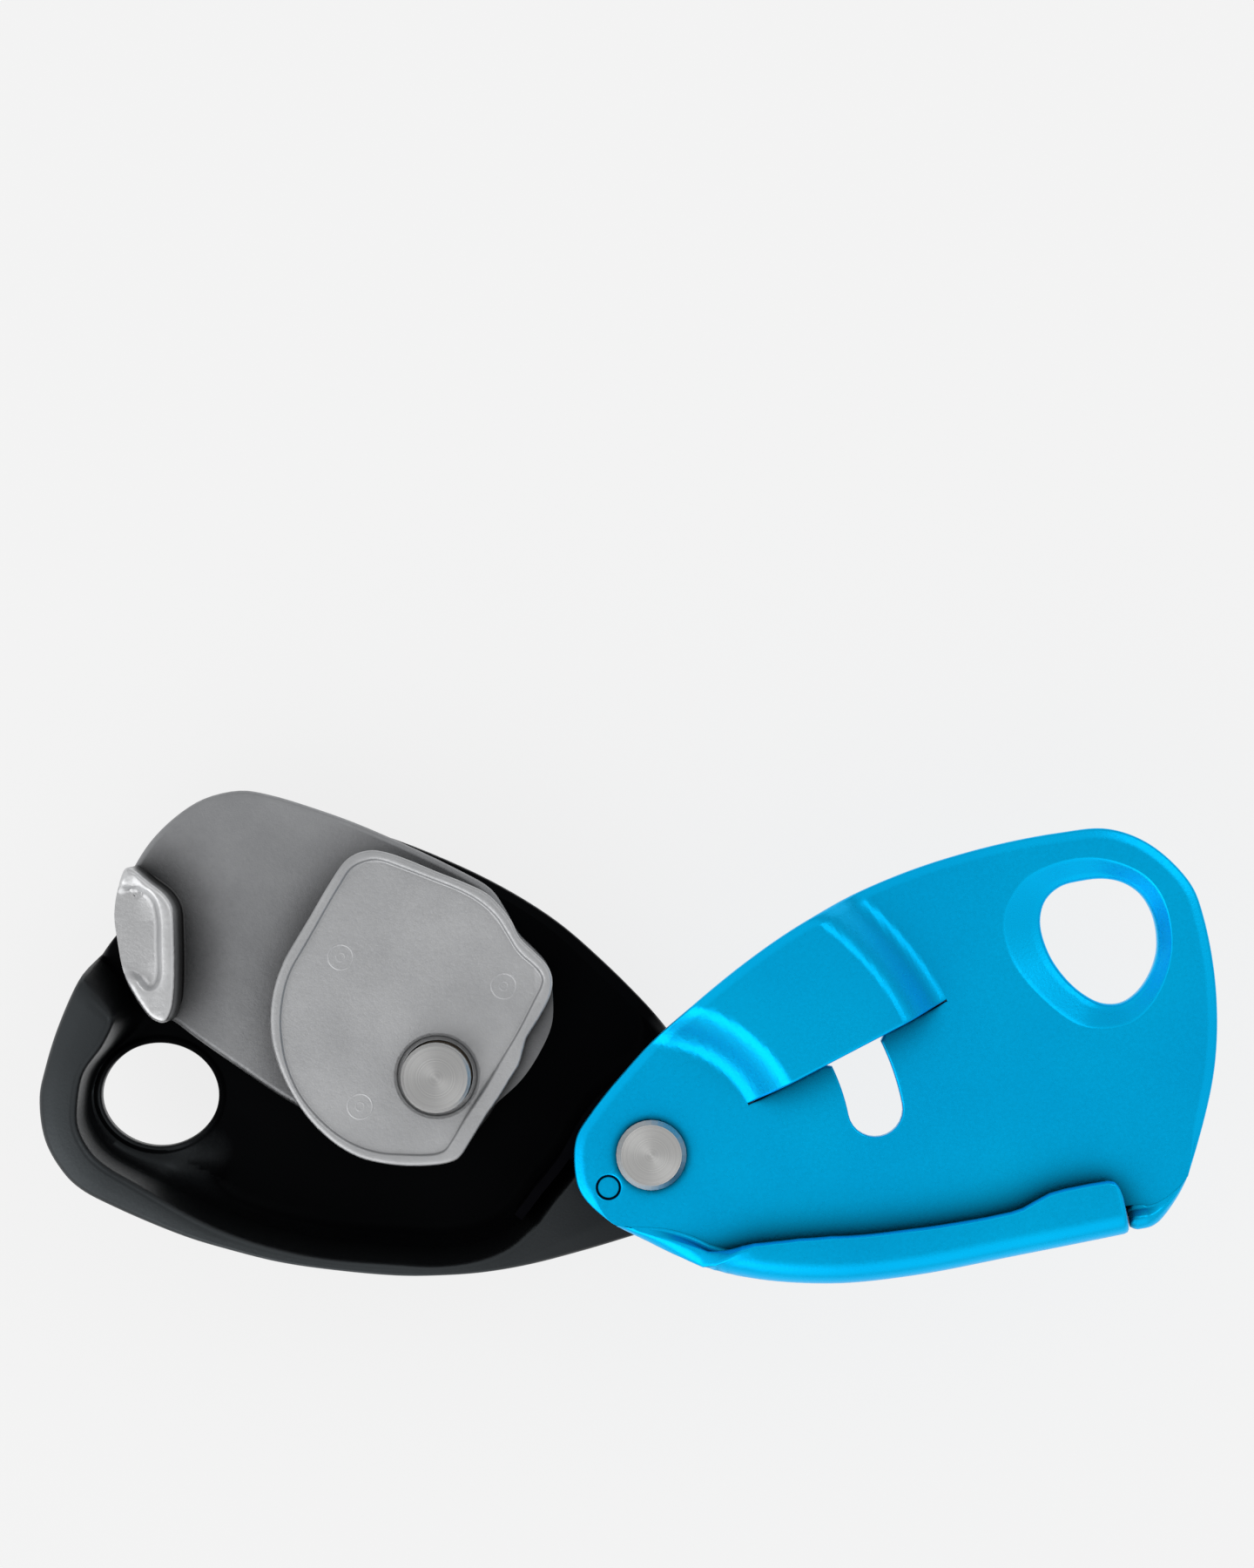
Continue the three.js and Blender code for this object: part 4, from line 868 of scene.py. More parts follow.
# How far the pressing lifts or sinks the sheet at a point
def pressedHeight(x, y):
    radius, angle = hypot(x, y), atan2(y, x) * 180 / pi
    height = 0.0
    if plate["cutTurn"] <= angle < 100:
        r0, r1, r2, r3 = plate["bridge"]
        height = plate["bridgeRise"] * (easeStep(radius, r0, r1) - easeStep(radius, r2, r3))
    dx, dy = x - plate["hole"][0], y - plate["hole"][1]
    turn, away = atan2(dy, dx), hypot(dx, dy)
    near, far = eggReachAt(turn), dishReachAt(turn)
    if away < far:
        share = min(1, max(0, (far - away) / max(far - near, 0.2)))
        height -= plate["dishDepth"] * dishCurve(share)
    return height


# Across the dish: a short bend, a long even slope, and a flat lip at the hole
def dishCurve(share):
    bend, flat = 0.1, 0.82
    if share < bend:
        return share * share / bend / (2 * flat)
    if share < flat:
        return (share - bend / 2) / flat * 0.98
    end = (flat - bend / 2) / flat * 0.98
    return end + (1 - end) * easeStep(share, flat, 1)


# The curved slot and the slit that runs on from it over the bridge
def slotLine():
    r0, _, _, r3 = plate["bridge"]
    half, distance, turn, cut = plate["slotHalf"], plate["slotDistance"], plate["slotTurn"], plate["cutTurn"]
    low, high = distance - half, distance + half
    steps = lambda a, b, n: [a + (b - a) * i / n for i in range(n + 1)]

    def besideCut(radius, off):
        across = Vector((-sin(radians(cut)), cos(radians(cut))))
        return tuple(Vector(polar(radius, cut)) + off * across)

    line = [besideCut(r, -plate["slit"]) for r in steps(r0 + 0.3, low - 0.9, 12)]
    line += [polar(low, a) for a in steps(cut - 1.6, turn, 8)]
    line += [polar(half, turn + 180 + a, polar(distance, turn)) for a in steps(12, 168, 12)]
    line += [polar(high, a) for a in steps(turn, cut - 1.3, 8)]
    line += [besideCut(r, -plate["slit"]) for r in steps(high + 0.9, r3 - 0.3, 10)]
    line += [besideCut(r, plate["slit"]) for r in steps(r3 - 0.3, r0 + 0.3, 40)]
    return line


# The rolled edge at a row of the outline: its turn, how far in the bend starts, and the strip beyond it
def lipAt(row, stations):
    for (r0, roll0, strip0), (r1, roll1, strip1) in zip(stations, stations[1:]):
        if row <= r1 + 1e-9:
            share = (row - r0) / (r1 - r0)
            roll, strip = roll0 + (roll1 - roll0) * share, strip0 + (strip1 - strip0) * share
            break
    radius, turn = plate["lipRadius"], pi * roll
    if roll >= 0.5:
        return turn, radius, strip
    return turn, radius * sin(turn) + strip * cos(turn), strip


# The stretch of the outline that a table of stations rolls: points, inward sides and the roll at each
def stationsFor(table, outline, sides):
    steps = plate["steps"]
    rows = [station[0] for station in table]
    for here, after in zip(rows[:], rows[1:]):
        parts = max(1, round((after - here) * steps))
        rows += [here + (after - here) * k / parts for k in range(1, parts)]
    placed = []
    for row in sorted(rows):
        low = int(row * steps)
        t = row * steps - low
        here, after = low % len(outline), (low + 1) % len(outline)
        point = Vector(outline[here]).lerp(Vector(outline[after]), t)
        side = Vector(sides[here]).lerp(Vector(sides[after]), t).normalized()
        placed.append((point, side, *lipAt(row, table)))
    return placed


# The sheet's border: coined thinner over a narrow band, which runs out where the sheet is rolled, and then its cut edge
def borderRings(border, bendRange):
    edge, thick, coined, drop = plate["edgeRound"], plate["thick"], plate["coined"], plate["coinedDrop"]
    inwards = inwardSides(border)
    shares = []
    for i in range(len(border)):
        apart = min(abs(i - bendRange[0]), abs(i - bendRange[-1]), abs(i + len(border) - bendRange[-1]))
        shares.append(0 if i in bendRange else easeStep(apart, 0, 10))
    rings = []
    for inset, fall in ((1, 0), (0.86, 0.06), (0.7, 0.25), (0.5, 0.6)):
        band = max(edge, coined * inset)
        rings.append([
            (p[0] + side[0] * band * share, p[1] + side[1] * band * share, -drop * fall * share)
            for p, side, share in zip(border, inwards, shares)
        ])
    for points in roundedRim(border, 1, edge, thick):
        lower = [drop * share * easeStep(p[2], -0.6 * thick, 0) for p, share in zip(points, shares)]
        rings.append([(p[0], p[1], p[2] - fall) for p, fall in zip(points, lower)])
    for points in rings:
        for i in bendRange:
            points[i] = (*border[i], points[i][2])
    return rings


# The dish, in rings from its outer crease to the hole and back below
def dishRings():
    edge, thick, (cx, cy) = plate["edgeRound"], plate["thick"], plate["hole"]
    turns = [-pi + 2 * pi * i / plate["holeSteps"] for i in range(plate["holeSteps"])]

    def ringAt(share, out, z):
        reaches = [dishReachAt(t) + (eggReachAt(t) - dishReachAt(t)) * share + out for t in turns]
        return [(cx + reach * cos(t), cy + reach * sin(t), z) for reach, t in zip(reaches, turns)]

    shares = [-0.06, 0.0, 0.05, 0.1, 0.2, 0.35, 0.5, 0.65, 0.78, 0.88]
    rings = [ringAt(share, edge * max(0, share), 0) for share in shares]
    rings += [ringAt(1, edge * (1 - along), -edge * across) for along, across in quarterTurn(3)]
    rings += [ringAt(1, edge * across, -thick + edge * (1 - along)) for along, across in quarterTurn(3)]
    return rings + [ringAt(share, edge * max(0, share), -thick) for share in shares[::-1]]


# One section of the rolled sheet, drawn at a station of the outline; slim pulls its skins together at a cut end
def lipSection(turn, start, flange, slim):
    radius, thick = plate["lipRadius"], plate["thick"]
    small, large = radius - thick + slim, radius - slim
    at = lambda r, a: (start - r * sin(a), radius - r * cos(a))
    turns = [turn * k / 14 for k in range(15)]
    out = Vector((-cos(turn), sin(turn)))
    tipOut, tipIn = (Vector(at(r, turn)) + out * (flange - slim - 0.45) for r in (large, small))
    middle, half = (tipOut + tipIn) / 2, (tipOut - tipIn) / 2
    line = [(start + 1.0, 0.04 + slim), (start + 0.02, slim)] + [at(large, a) for a in turns]
    line += [tuple(middle + half * cos(pi * k / 6) + out * 0.5 * sin(pi * k / 6)) for k in range(7)]
    line += [at(small, a) for a in turns[::-1]]
    return line + [(start + 0.02, thick - slim), (start + 1.0, thick - 0.04 - slim)]


def buildPlate():
    front, thick, steps, finish = levels["movingFront"], plate["thick"], plate["steps"], finishes["blueSheet"]
    outline = smoothLoop(scaled(plateShares, plate["reach"]), steps)
    sides = inwardSides(outline)
    curl, hem = stationsFor(curlStations, outline, sides), stationsFor(lipStations, outline, sides)

    # The flat sheet's border: the outline, with the bend in place of the rolled stretch
    before = [outline[i] for i in range(len(outline)) if i < curlStations[0][0] * steps - 0.3]
    after = [outline[i] for i in range(len(outline)) if i > lipStations[-1][0] * steps + 0.3]
    bend = [tuple(point + side * start) for point, side, _, start, _ in curl + hem]
    bendRange = range(len(before), len(before) + len(bend))
    stopDistance, stopTurn, stopRadius = plate["stop"]
    stopAt = polar(stopDistance, stopTurn)

    bm = bmesh.new()
    openings = [borderRings(before + bend + after, bendRange)]
    openings += [roundedRim(line, -1, rim, thick) for line, rim in (
        (slotLine(), plate["holeEdge"]),
        (circle((0, 0), plate["rivetHole"], 56), plate["holeEdge"]),
        (circle(stopAt, stopRadius + plate["stopRoom"], 32), plate["stopEdge"]),
    )]
    stacks = [ringStack(bm, rings) for rings in (*openings, dishRings())]
    fillFlat(bm, *[stack[0] for stack in stacks])
    fillFlat(bm, *[stack[-1] for stack in stacks])
    bm.normal_update()
    bridgeFrom, bridgeTo = plate["bridge"][0] - 1, plate["bridge"][-1] + 1

    def inBridge(face):
        if abs(face.normal.z) < 0.9:
            return False
        near = [hypot(v.co.x, v.co.y) for v in face.verts]
        return max(near) > bridgeFrom and min(near) < bridgeTo and max(v.co.y for v in face.verts) > 0.2

    coarse, fine = plate["dice"]
    diceFaces(bm, coarse, (-12, -40), (80, 24))
    diceFaces(bm, fine, (2, 0), (bridgeTo, 24), inBridge)
    for vert in bm.verts:
        vert.co.z += pressedHeight(vert.co.x, vert.co.y)
    bmesh.ops.translate(bm, vec=(0, 0, front), verts=bm.verts)
    turnOpen(bm)
    finishPiece(bm, "blueSidePlate", "side_plate", finish, ["moving_side_plate"], smooth=50)

    for name, stations, cut in (("blueRolledLip", hem, 0), ("blueCurledCorner", curl, len(curl) - 1)):
        bm = bmesh.new()
        rings = []
        for number, (point, side, turn, start, flange) in enumerate(stations):
            slim = (0.4, 0.12, 0.0)[min(abs(number - cut), 2)]
            rings.append([
                (point.x + side.x * n, point.y + side.y * n, levels["movingBack"] + z)
                for n, z in lipSection(turn, start, flange, slim)
            ])
        fillEnds(bm, ringStack(bm, rings))
        turnOpen(bm)
        finishPiece(bm, name, "side_plate", finish, smooth=50)

    # The half-pierced stop beside the rivet, sunk a little below the sheet's front
    bm = bmesh.new()
    low = levels["movingBack"] - 0.7
    profile = [(-0.3, low), (0, low + 0.3), (0, front - 0.42), (-0.2, front - 0.25)]
    fillEnds(bm, turnedStack(bm, stopAt, 32, [(stopRadius + out, z) for out, z in profile]))
    turnOpen(bm)
    finishPiece(bm, "bluePressedStop", "side_plate", finish)


buildPlate()
print("blue side plate built")


# Cam: lines about its axle, as shares of the lip's or the flange's reach
cam = {
    "lipReach": 29.0,
    "flangeReach": 41.8,
    "lipRound": (0.55, 0.45),
    "recess": 0.5,
    "moat": 5.1,
    "bore": 4.7,
    "moatDepth": 3.5,
    "drumSpread": (0.35, 0.5, 0.6),
    "flangeBore": 5.3,
    "flangeRound": (0.35, 0.8),
    "noseHeight": 10.4,
    "noseRound": 0.7,
    "noseDish": 1.25,
    "noseDraft": 0.15,
    "noseFillet": 0.4,
}
camLipShares = [
    (-0.414, 0.947), (-0.364, 0.984), (-0.293, 1.001), (-0.221, 0.99), (-0.135, 0.961), (-0.007, 0.908),
    (0.136, 0.851), (0.222, 0.808), (0.28, 0.751), (0.33, 0.687), (0.365, 0.615), (0.437, 0.544),
    (0.491, 0.486), (0.511, 0.429), (0.503, 0.358), (0.454, 0.258), (0.397, 0.165), (0.383, 0.115),
    (0.367, 0.057), (0.325, -0.014), (0.272, -0.1), (0.222, -0.171), (0.151, -0.286), (0.096, -0.365),
    (0.036, -0.389), (-0.092, -0.4), (-0.207, -0.393), (-0.336, -0.365), (-0.45, -0.303), (-0.564, -0.197),
    (-0.65, -0.071), (-0.707, 0.057), (-0.736, 0.172), (-0.74, 0.286), (-0.722, 0.401), (-0.679, 0.515),
    (-0.629, 0.601), (-0.564, 0.708), (-0.493, 0.83),
]
camFaceShares = [
    (-0.35, 0.944), (-0.293, 0.961), (-0.25, 0.959), (-0.164, 0.93), (-0.035, 0.88), (0.108, 0.823),
    (0.194, 0.773), (0.265, 0.708), (0.315, 0.63), (0.365, 0.551), (0.444, 0.479), (0.47, 0.436),
    (0.465, 0.398), (0.437, 0.341), (0.365, 0.2), (0.28, 0.057), (0.208, -0.06), (0.136, -0.171),
    (0.065, -0.293), (0.034, -0.333), (-0.021, -0.35), (-0.15, -0.35), (-0.25, -0.343), (-0.35, -0.314),
    (-0.45, -0.257), (-0.55, -0.164), (-0.622, -0.064), (-0.672, 0.057), (-0.693, 0.172), (-0.696, 0.272),
    (-0.679, 0.386), (-0.65, 0.472), (-0.593, 0.572), (-0.536, 0.672), (-0.479, 0.773), (-0.428, 0.858),
    (-0.39, 0.916),
]
camCoreShares = [
    (-0.293, 0.897), (-0.172, 0.907), (0.017, 0.834), (0.121, 0.779), (0.207, 0.734), (0.283, 0.655),
    (0.352, 0.579), (0.431, 0.517), (0.479, 0.434), (0.497, 0.324), (0.49, 0.224), (0.438, 0.107),
    (0.359, -0.01), (0.241, -0.121), (0.131, -0.241), (0.045, -0.303), (-0.09, -0.317), (-0.207, -0.31),
    (-0.317, -0.276), (-0.441, -0.2), (-0.562, -0.11), (-0.607, -0.034), (-0.641, 0.069), (-0.655, 0.166),
    (-0.655, 0.269), (-0.638, 0.379), (-0.607, 0.466), (-0.552, 0.552), (-0.486, 0.669), (-0.397, 0.821),
]
camFlangeShares = [
    (-0.959, 0.641), (-0.986, 0.584), (-1, 0.498), (-0.99, 0.411), (-0.969, 0.311), (-0.928, 0.23),
    (-0.88, 0.172), (-0.842, 0.158), (-0.763, 0.1), (-0.634, 0.01), (-0.514, -0.072), (-0.419, -0.129),
    (-0.33, -0.189), (-0.242, -0.242), (-0.153, -0.268), (-0.062, -0.27), (0.026, -0.256), (0.072, -0.23),
    (0.151, -0.144), (0.201, -0.062), (0.263, -0.005), (0.309, 0.074), (0.344, 0.156), (0.349, 0.225),
    (0.347, 0.301), (0.33, 0.342), (0.294, 0.383), (0.244, 0.433), (0.206, 0.502), (0.158, 0.569),
    (0.06, 0.627), (-0.23, 0.761), (-0.383, 0.818), (-0.543, 0.866), (-0.629, 0.878), (-0.742, 0.852),
    (-0.833, 0.794), (-0.909, 0.718),
]
noseShares = camFlangeShares[:7] + [
    (-0.842, 0.163), (-0.821, 0.196), (-0.811, 0.258), (-0.811, 0.447), (-0.817, 0.515), (-0.84, 0.555),
    (-0.888, 0.594),
]
noseDishShares = [
    (-0.955, 0.572), (-0.968, 0.52), (-0.97, 0.46), (-0.962, 0.4), (-0.945, 0.34), (-0.925, 0.29),
    (-0.9, 0.262), (-0.873, 0.264), (-0.854, 0.294), (-0.853, 0.396), (-0.855, 0.483), (-0.868, 0.538),
    (-0.895, 0.57), (-0.928, 0.578),
]


def aboutAxle(shares, reach, steps):
    return moved(smoothLoop(scaled(shares, reach), steps), plan["axle"])


def buildCam():
    axle, reach = plan["axle"], cam["flangeReach"]
    lip, sunk = aboutAxle(camLipShares, cam["lipReach"], 6), aboutAxle(camFaceShares, cam["lipReach"], 6)
    core, flange = aboutAxle(camCoreShares, cam["lipReach"], 5), aboutAxle(camFlangeShares, reach, 4)
    top, bottom, wellRadius, bore = levels["camFront"], levels["lipBack"], cam["moat"], cam["bore"]

    # Front lip: a rounded rim round a sunk face, and the well that the axle stands in
    bm = bmesh.new()
    rings = [atHeight(shifted(lip, inset), bottom + up) for inset, up in ((0.35, 0), (0.1, 0.12), (0, 0.4))]
    over, down = cam["lipRound"]
    rings += [atHeight(shifted(lip, over * across), top - down + down * along) for along, across in quarterTurn(5)]
    outer = ringStack(bm, rings)
    step = cam["recess"]
    slope = ((-0.3, 0), (-0.12, 0.05), (0, 0.16), (0.08, step - 0.18), (0.18, step - 0.05), (0.34, step))
    inner = ringStack(bm, [atHeight(relaxed(shifted(sunk, out), 1), top - drop) for out, drop in slope])
    fillFlat(bm, outer[-1], inner[0])
    face = top - step
    floor = face - 0.9
    well = turnedStack(bm, axle, 72, [
        (wellRadius + 0.55, face),
        (wellRadius + 0.28, face - 0.05),
        (wellRadius + 0.08, face - 0.2),
        (wellRadius, face - 0.45),
        (wellRadius, floor + 0.2),
        (wellRadius - 0.06, floor + 0.05),
        (wellRadius - 0.2, floor),
        (bore - 0.1, floor),
        (bore - 0.1, bottom),
    ])
    fillFlat(bm, inner[-1], well[0])
    fillFlat(bm, outer[0], well[-1])
    finishPiece(bm, "camFrontLip", "cam", finishes["castFace"], ["cam"])

    # Groove: the drum between the lip and the flange, spreading softly at both
    bm = bmesh.new()
    low, high = levels["flangeFront"] - 0.3, bottom + 0.05
    outLow, outHigh, rise = cam["drumSpread"]
    foot = low + 0.2
    rings = [atHeight(shifted(core, -outLow * (1 - along)), foot + rise * across) for along, across in quarterTurn(4)]
    rings += [atHeight(shifted(core, -outHigh * across), high - rise * (1 - along)) for along, across in quarterTurn(4)]
    outer = ringStack(bm, rings)
    floor = top - cam["moatDepth"]
    inner = turnedStack(bm, axle, 72, [
        (wellRadius, high),
        (wellRadius, floor + 0.3),
        (wellRadius - 0.1, floor + 0.1),
        (wellRadius - 0.3, floor),
        (bore, floor),
        (bore, foot),
    ])
    fillFlat(bm, outer[-1], inner[0])
    fillFlat(bm, outer[0], inner[-1])
    finishPiece(bm, "camGroove", "cam", finishes["castGrooveToneAndShade"])

    # Back flange
    bm = bmesh.new()
    low, high = levels["camBack"], levels["flangeFront"]
    under, over = cam["flangeRound"]
    rings = [atHeight(shifted(flange, under * (1 - along)), low + under * across) for along, across in quarterTurn(3)]
    rings += [atHeight(shifted(flange, over * across), high - over + over * along) for along, across in quarterTurn(4)]
    outer = ringStack(bm, rings)
    inner = turnedStack(bm, axle, 64, [(cam["flangeBore"], low), (cam["flangeBore"], high)])
    fillFlat(bm, outer[-1], inner[-1])
    fillFlat(bm, outer[0], inner[0])
    finishPiece(bm, "camFlange", "cam", finishes["castFlangeToneAndShade"])

    # Nose: an upright horn with a dished end; its foot's fillet runs out at both ends, and the dish is open to the left
    bm = bmesh.new()
    nose, dish = aboutAxle(noseShares, reach, 7), aboutAxle(noseDishShares, reach, 13)
    draft, fillet, depth = cam["noseDraft"], cam["noseFillet"], cam["noseDish"]
    foot = [q if q[0] > p[0] else p for p, q in zip(nose, shifted(nose, -draft))]
    up = lambda p: (p[1] - axle[1]) / reach
    left = lambda p: (axle[0] - p[0]) / reach
    base = []
    for p, q in zip(nose, shifted(nose, -draft - fillet)):
        fade = easeStep(up(p), 0.17, 0.27) * (1 - easeStep(up(p), 0.59, 0.64)) if q[0] > p[0] else 0
        base.append((p[0] + (q[0] - p[0]) * fade, p[1] + (q[1] - p[1]) * fade))
    tip = high + cam["noseHeight"]
    rings = [atHeight(base, high - 0.5)]
    for along, across in quarterTurn(8):
        line = [(b[0] + (f[0] - b[0]) * along, b[1] + (f[1] - b[1]) * along) for b, f in zip(base, foot)]
        rings.append(atHeight(line, high - 0.015 + fillet * across))
    over = cam["noseRound"]
    rings += [atHeight(shifted(nose, over * across), tip - over + over * along) for along, across in quarterTurn(4)]
    outer = ringStack(bm, rings)
    drops = ((-0.3, 0), (-0.1, 0.06), (0.06, 0.2), (0.5, depth - 0.4), (0.72, depth - 0.14), (1.1, depth))
    inner = ringStack(bm, [atHeight(relaxed(shifted(dish, out), 6), tip - drop) for out, drop in drops])
    fillFlat(bm, outer[0])
    fillFlat(bm, outer[-1], inner[0])
    fillFlat(bm, inner[-1])
    floor = tip - depth
    for vert in bm.verts:
        if vert.co.z > tip - 2.2:
            middle = easeStep(up(vert.co), 0.285, 0.33) * (1 - easeStep(up(vert.co), 0.56, 0.6))
            opened = easeStep(left(vert.co), 0.905, 0.935) * middle
            vert.co.z = max(vert.co.z - depth * opened, min(vert.co.z, floor))
    finishPiece(bm, "camNose", "cam", finishes["castNoseLitCopy"])


buildCam()
print("cam built")


# Release lever's hub cover, the folding grip and their screws, seen from the back
back = {
    "room": 0.3,
    "sides": 48,
    "socketSides": 6,
    "pinHead": (3.1, 2.0, 0.4, 1.0),
    "pinDimple": 1.1,
}
cover = {
    "radius": 12.2,
    "thick": 2.4,
    "edge": 0.8,
    "pocket": 6.5,
    "pocketDepth": 1.6,
    "panel": 6.2,
    "panelDepth": 0.3,
    "screwDistance": 9.3,
    "screwTurns": (75, 290),
    "screw": {"head": 1.9, "shank": 1.0, "sink": 0.3, "thick": 0.9, "end": 5.3, "socket": 0.85},
}
grip = {
    "reach": 44.6,
    "edge": 1.6,
    "backSkin": (0.0, 2.4),
    "backWall": (2.4, 4.45),
    "frontWall": (4.75, 5.6),
    "frontSkin": (9.2, 5.6),
    "pocket": 14.0,
    "ribs": (-34.0, -14.0, 5.0, 0.4),
    "screw": {"head": 2.3, "shank": 1.25, "sink": 0.4, "thick": 1.4, "end": 7.6, "socket": 1.1},
}
gripShares = [
    (-1, -0.054), (-0.973, -0.121), (-0.841, -0.188), (-0.594, -0.229), (-0.37, -0.238), (-0.179, -0.215),
    (0, -0.157), (0.108, -0.112), (0.157, 0), (0.11, 0.11), (0, 0.157), (-0.103, 0.112),
    (-0.213, 0.045), (-0.37, 0.022), (-0.583, 0.031), (-0.762, 0.054), (-0.908, 0.04), (-0.982, 0),
]
gripScrewShares = [(-0.42, -0.106), (-0.885, -0.062)]


# A hole for a head and its shank: radii and depths from the face in
def sunkHole(head, shank, seat, depth, edge=0.15):
    return [(head + edge, 0), (head, edge), (head, seat), (shank, seat), (shank, depth)]


def screwHole(screw, depth):
    room = back["room"]
    return sunkHole(screw["head"] + room, screw["shank"] + room, screw["sink"] + screw["thick"] + room, depth)


# A turned steel piece, filled at both ends
def turnedPiece(name, rings, body, stands):
    bm = bmesh.new()
    fillEnds(bm, ringStack(bm, rings))
    finishPiece(bm, name, body, finishes["plateSteel"], stands, smooth=35)


# A cap screw with a hexagonal socket, its head towards the resting face
def socketScrew(name, centre, size, body, stands):
    head, shank, low, socket, sides = size["head"], size["shank"], size["sink"], size["socket"], back["sides"]
    seat = low + size["thick"]
    wide = 360 / back["socketSides"]
    flat = [cos(radians(wide / 2)) / cos(radians((360 * i / sides) % wide - wide / 2)) for i in range(sides)]
    profile = [(shank, size["end"]), (shank, seat), (head, seat), (head, low + 0.25), (head - 0.07, low + 0.07)]
    rings = turnedRings(centre, sides, profile + [(head - 0.25, low), (socket + 0.16, low)])
    for radius, height in ((socket + 0.06, low + 0.06), (socket, low + 0.16), (socket, seat - 0.25)):
        rings.append(atHeight([polar(radius * flat[i], 360 * i / sides, centre) for i in range(sides)], height))
    turnedPiece(name, rings, body, stands)


def buildCover():
    at, thick, radius, edge, depth = plan["axle"], cover["thick"], cover["radius"], cover["edge"], cover["panelDepth"]
    bm = bmesh.new()
    inner = turnedStack(bm, at, 72, [(cover["pocket"], thick - cover["pocketDepth"]), (cover["pocket"], thick)])
    profile = [(radius - 0.15, thick), (radius, thick - 0.15)]
    profile += [(radius - edge * across, edge * (1 - along)) for along, across in quarterTurn(5)]
    outer = turnedStack(bm, at, 72, profile)
    slope = ((0.35, 0), (0.22, 0.04), (0.06, depth - 0.05), (-0.12, depth))
    panel = turnedStack(bm, at, 72, [(cover["panel"] + out, height) for out, height in slope])
    places = [polar(cover["screwDistance"], turn, at) for turn in cover["screwTurns"]]
    holes = [turnedStack(bm, place, 40, screwHole(cover["screw"], thick)) for place in places]
    fillFlat(bm, outer[-1], panel[0], *[hole[0] for hole in holes])
    fillFlat(bm, panel[-1])
    fillFlat(bm, outer[0], inner[-1], *[hole[-1] for hole in holes])
    fillFlat(bm, inner[0])
    finish = finishes["blackNylon"]
    finishPiece(bm, "hubCoverShell", "release_lever", finish, ["lever_hub_cover"], smooth=35)
    for i, place in enumerate(places):
        stands = ["cover_screw_" + str(i + 1)]
        socketScrew("hubCoverScrew" + str(i + 1), place, cover["screw"], "release_lever", stands)


def buildGrip():
    at, room, reach = plan["gripPin"], back["room"], grip["reach"]
    low, high, pitch, deep = grip["ribs"]
    line = smoothLoop(scaled(gripShares, reach), 14)
    ribbed = []
    for p, side in zip(line, inwardSides(line)):
        wave = (1 - cos(2 * pi * (p[0] - low) / pitch)) / 2 if low < p[0] < high and p[1] < -0.1 * reach else 0
        ribbed.append((p[0] + side[0] * deep * wave, p[1] + side[1] * deep * wave))
    outline = moved(ribbed, at)
    places = moved(scaled(gripScrewShares, reach), at)
    head, shank, sink, thick = back["pinHead"]
    screw, edge, finish = grip["screw"], grip["edge"], finishes["blackNylon"]
    shaft = screw["shank"] + room

    # The far part of the outline, closed by the round room that the lever turns in
    far = [p for p in ribbed if hypot(*p) > grip["pocket"]]
    gap = max(range(len(far)), key=lambda i: hypot(far[i][0] - far[i - 1][0], far[i][1] - far[i - 1][1]))
    far = far[gap:] + far[:gap]
    first, last = (atan2(far[k][1], far[k][0]) % (2 * pi) for k in (0, -1))
    sweep = [last + (first - last) * k / 12 for k in range(1, 12)]
    far += [(grip["pocket"] * cos(a), grip["pocket"] * sin(a)) for a in sweep]
    wallLine = moved(far, at)

    for side, stands in (("back", "grip_back_shell"), ("front", "grip_front_shell")):
        face, seam = grip[side + "Skin"]
        depth, way = abs(seam - face), 1 if seam > face else -1
        bm = bmesh.new()
        rings = [atHeight(outline, seam)]
        for along, across in quarterTurn(6):
            rings.append(atHeight(shifted(outline, edge * across), face + way * edge * (1 - along)))
        skin = ringStack(bm, rings)
        holes = [(at, sunkHole(head + room, shank + room, sink + thick + room, depth, 0.2))]
        if side == "back":
            holes += [(place, screwHole(screw, depth)) for place in places]
        stacks = [turnedStack(bm, place, 40, [(r, face + way * h) for r, h in profile]) for place, profile in holes]
        seams = [stack[-1] for stack in stacks]
        if side == "front":
            for place in places:
                blind = turnedStack(bm, place, 40, [(shaft, seam), (shaft, screw["end"] + room)])
                seams.append(blind[0])
                fillFlat(bm, blind[-1])
        fillFlat(bm, skin[-1], *[stack[0] for stack in stacks])
        fillFlat(bm, skin[0], *seams)
        finishPiece(bm, "grip" + side.capitalize() + "Skin", "handle_grip", finish, [stands], smooth=40)

        bm = bmesh.new()
        ends = grip[side + "Wall"]
        wall = ringStack(bm, [atHeight(wallLine, z) for z in ends])
        shafts = [turnedStack(bm, place, 40, [(shaft, z) for z in ends]) for place in places]
        for k in (0, 1):
            fillFlat(bm, wall[k], *[stack[k] for stack in shafts])
        finishPiece(bm, "grip" + side.capitalize() + "Wall", "handle_grip", finish, smooth=40)
    for i, place in enumerate(places):
        socketScrew("gripSocketScrew" + str(i + 1), place, screw, "handle_grip", ["grip_screw_" + str(i + 1)])

    # The pin that the grip folds on, a domed head at each end
    top, dimple = grip["frontSkin"][0], back["pinDimple"]
    half = [(0.4, sink + 0.5), (dimple - 0.3, sink + 0.35), (dimple, sink + 0.04), (dimple + 0.1, sink)]
    half += [(head - 0.3, sink), (head - 0.08, sink + 0.08), (head, sink + 0.3)]
    half += [(head, sink + thick), (shank, sink + thick)]
    profile = half + [(r, top - z) for r, z in half[::-1]]
    turnedPiece("gripPinTurned", turnedRings(at, back["sides"], profile), "release_lever", ["grip_pin"])


buildCover()
buildGrip()
print("hub cover and grip built")


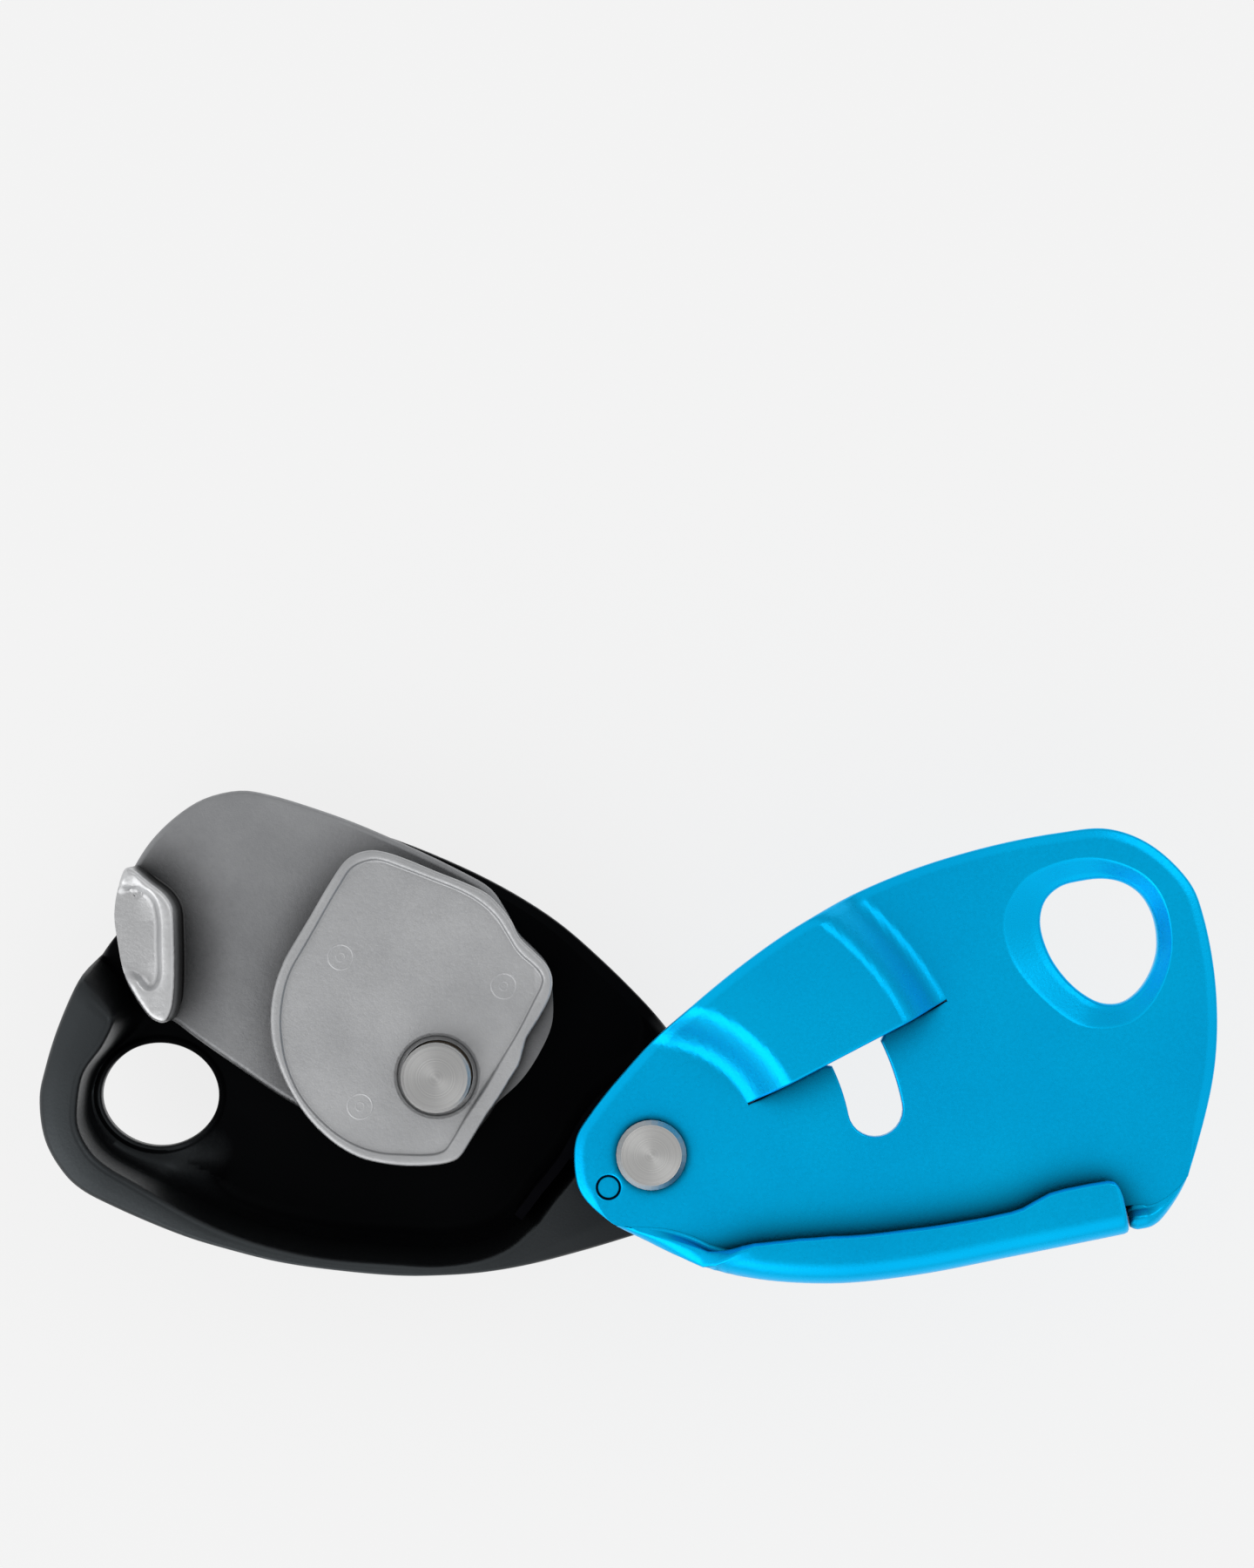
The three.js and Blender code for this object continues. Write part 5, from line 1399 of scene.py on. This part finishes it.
# Mode selector: a scalloped knob with a pointer, and the room for its lock button
knob = {
    "radius": 7.5,
    "back": 1.5,
    "front": 9.2,
    "edge": 0.45,
    "scallops": 12,
    "scallopDepth": 0.34,
    "shaftRoom": (2.5, 3.9),
    "buttonRoom": (1.9, 6.5),
    "buttonDistance": 4.75,
    "buttonTurn": 132,
    "pointer": (1.2, 6.0, 0.6),
    "pointerDepth": 0.6,
}


def buildKnob():
    at, radius, edge, low, high = plan["selector"], knob["radius"], knob["edge"], knob["back"], knob["front"]
    count = knob["scallops"] * 12
    wave = lambda i: abs(sin(pi * knob["scallops"] * i / count)) ** 1.6
    outline = [polar(radius - knob["scallopDepth"] * wave(i), 360 * i / count, at) for i in range(count)]
    bm = bmesh.new()
    rings = [atHeight(outline, high)]
    rings += [atHeight(shifted(outline, edge * across), low + edge * (1 - along)) for along, across in quarterTurn(6)]
    skin = ringStack(bm, rings)
    shaft, depth = knob["shaftRoom"]
    bore = turnedStack(bm, at, 48, [(shaft, high), (shaft, depth)])
    room, depth = knob["buttonRoom"]
    button = polar(knob["buttonDistance"], knob["buttonTurn"], at)
    hole = turnedStack(bm, button, 40, [(room + 0.04, low), (room, low + 0.04), (room, depth)])
    near, far, half = knob["pointer"]
    turn = knob["buttonTurn"] + 180
    ends = [(polar(near + half, turn, at), turn + 180), (polar(far - half, turn, at), turn)]
    slot = lambda grow: [polar(half + grow, facing - 90 + 180 * k / 8, end) for end, facing in ends for k in range(9)]
    sunk = low + knob["pointerDepth"]
    slope = ((0.1, low), (0, low + 0.1), (0, sunk - 0.05), (-0.1, sunk))
    mark = ringStack(bm, [atHeight(slot(grow), z) for grow, z in slope])
    fillFlat(bm, skin[-1], hole[0], mark[0])
    fillFlat(bm, skin[0], bore[0])
    for stack in (bore, hole, mark):
        fillFlat(bm, stack[-1])
    finish = finishes["greyAcetal"]
    finishPiece(bm, "selectorKnobCap", "mode_selector", finish, ["selector_knob"], smooth=40)


buildKnob()
print("mode selector built")


# The nodes that keep their own shape get their finish and a small edge
softEdge = {"width": 0.0002, "segments": 2, "turn": 50}
carried = {
    "paintedShadeSteel": ("friction_plate",),
    "rivetSteel": ("pivot_rivet",),
    "axleSteel": ("cam_axle", "axle_collar"),
    "bronze": ("pivot_bush", "cam_bush", "lever_bush"),
    "springSteel": ("axle_retaining_ring", "cam_return_spring", "selector_lock_spring"),
    "plateSteel": ("spring_anchor_pin", "cam_drive_pin", "lever_arm", "selector_shaft"),
    "blackNylon": ("selector_lock_button",),
}
for finish, nodes in carried.items():
    for node in nodes:
        thing = frame["nodes"][node]
        thing.data.materials.clear()
        thing.data.materials.append(finishes[finish])
        soft = thing.modifiers.new("softEdges", "BEVEL")
        soft.width = softEdge["width"]
        soft.segments = softEdge["segments"]
        soft.limit_method = "ANGLE"
        soft.angle_limit = radians(softEdge["turn"])
        soft.use_clamp_overlap = True
print("carried nodes finished")
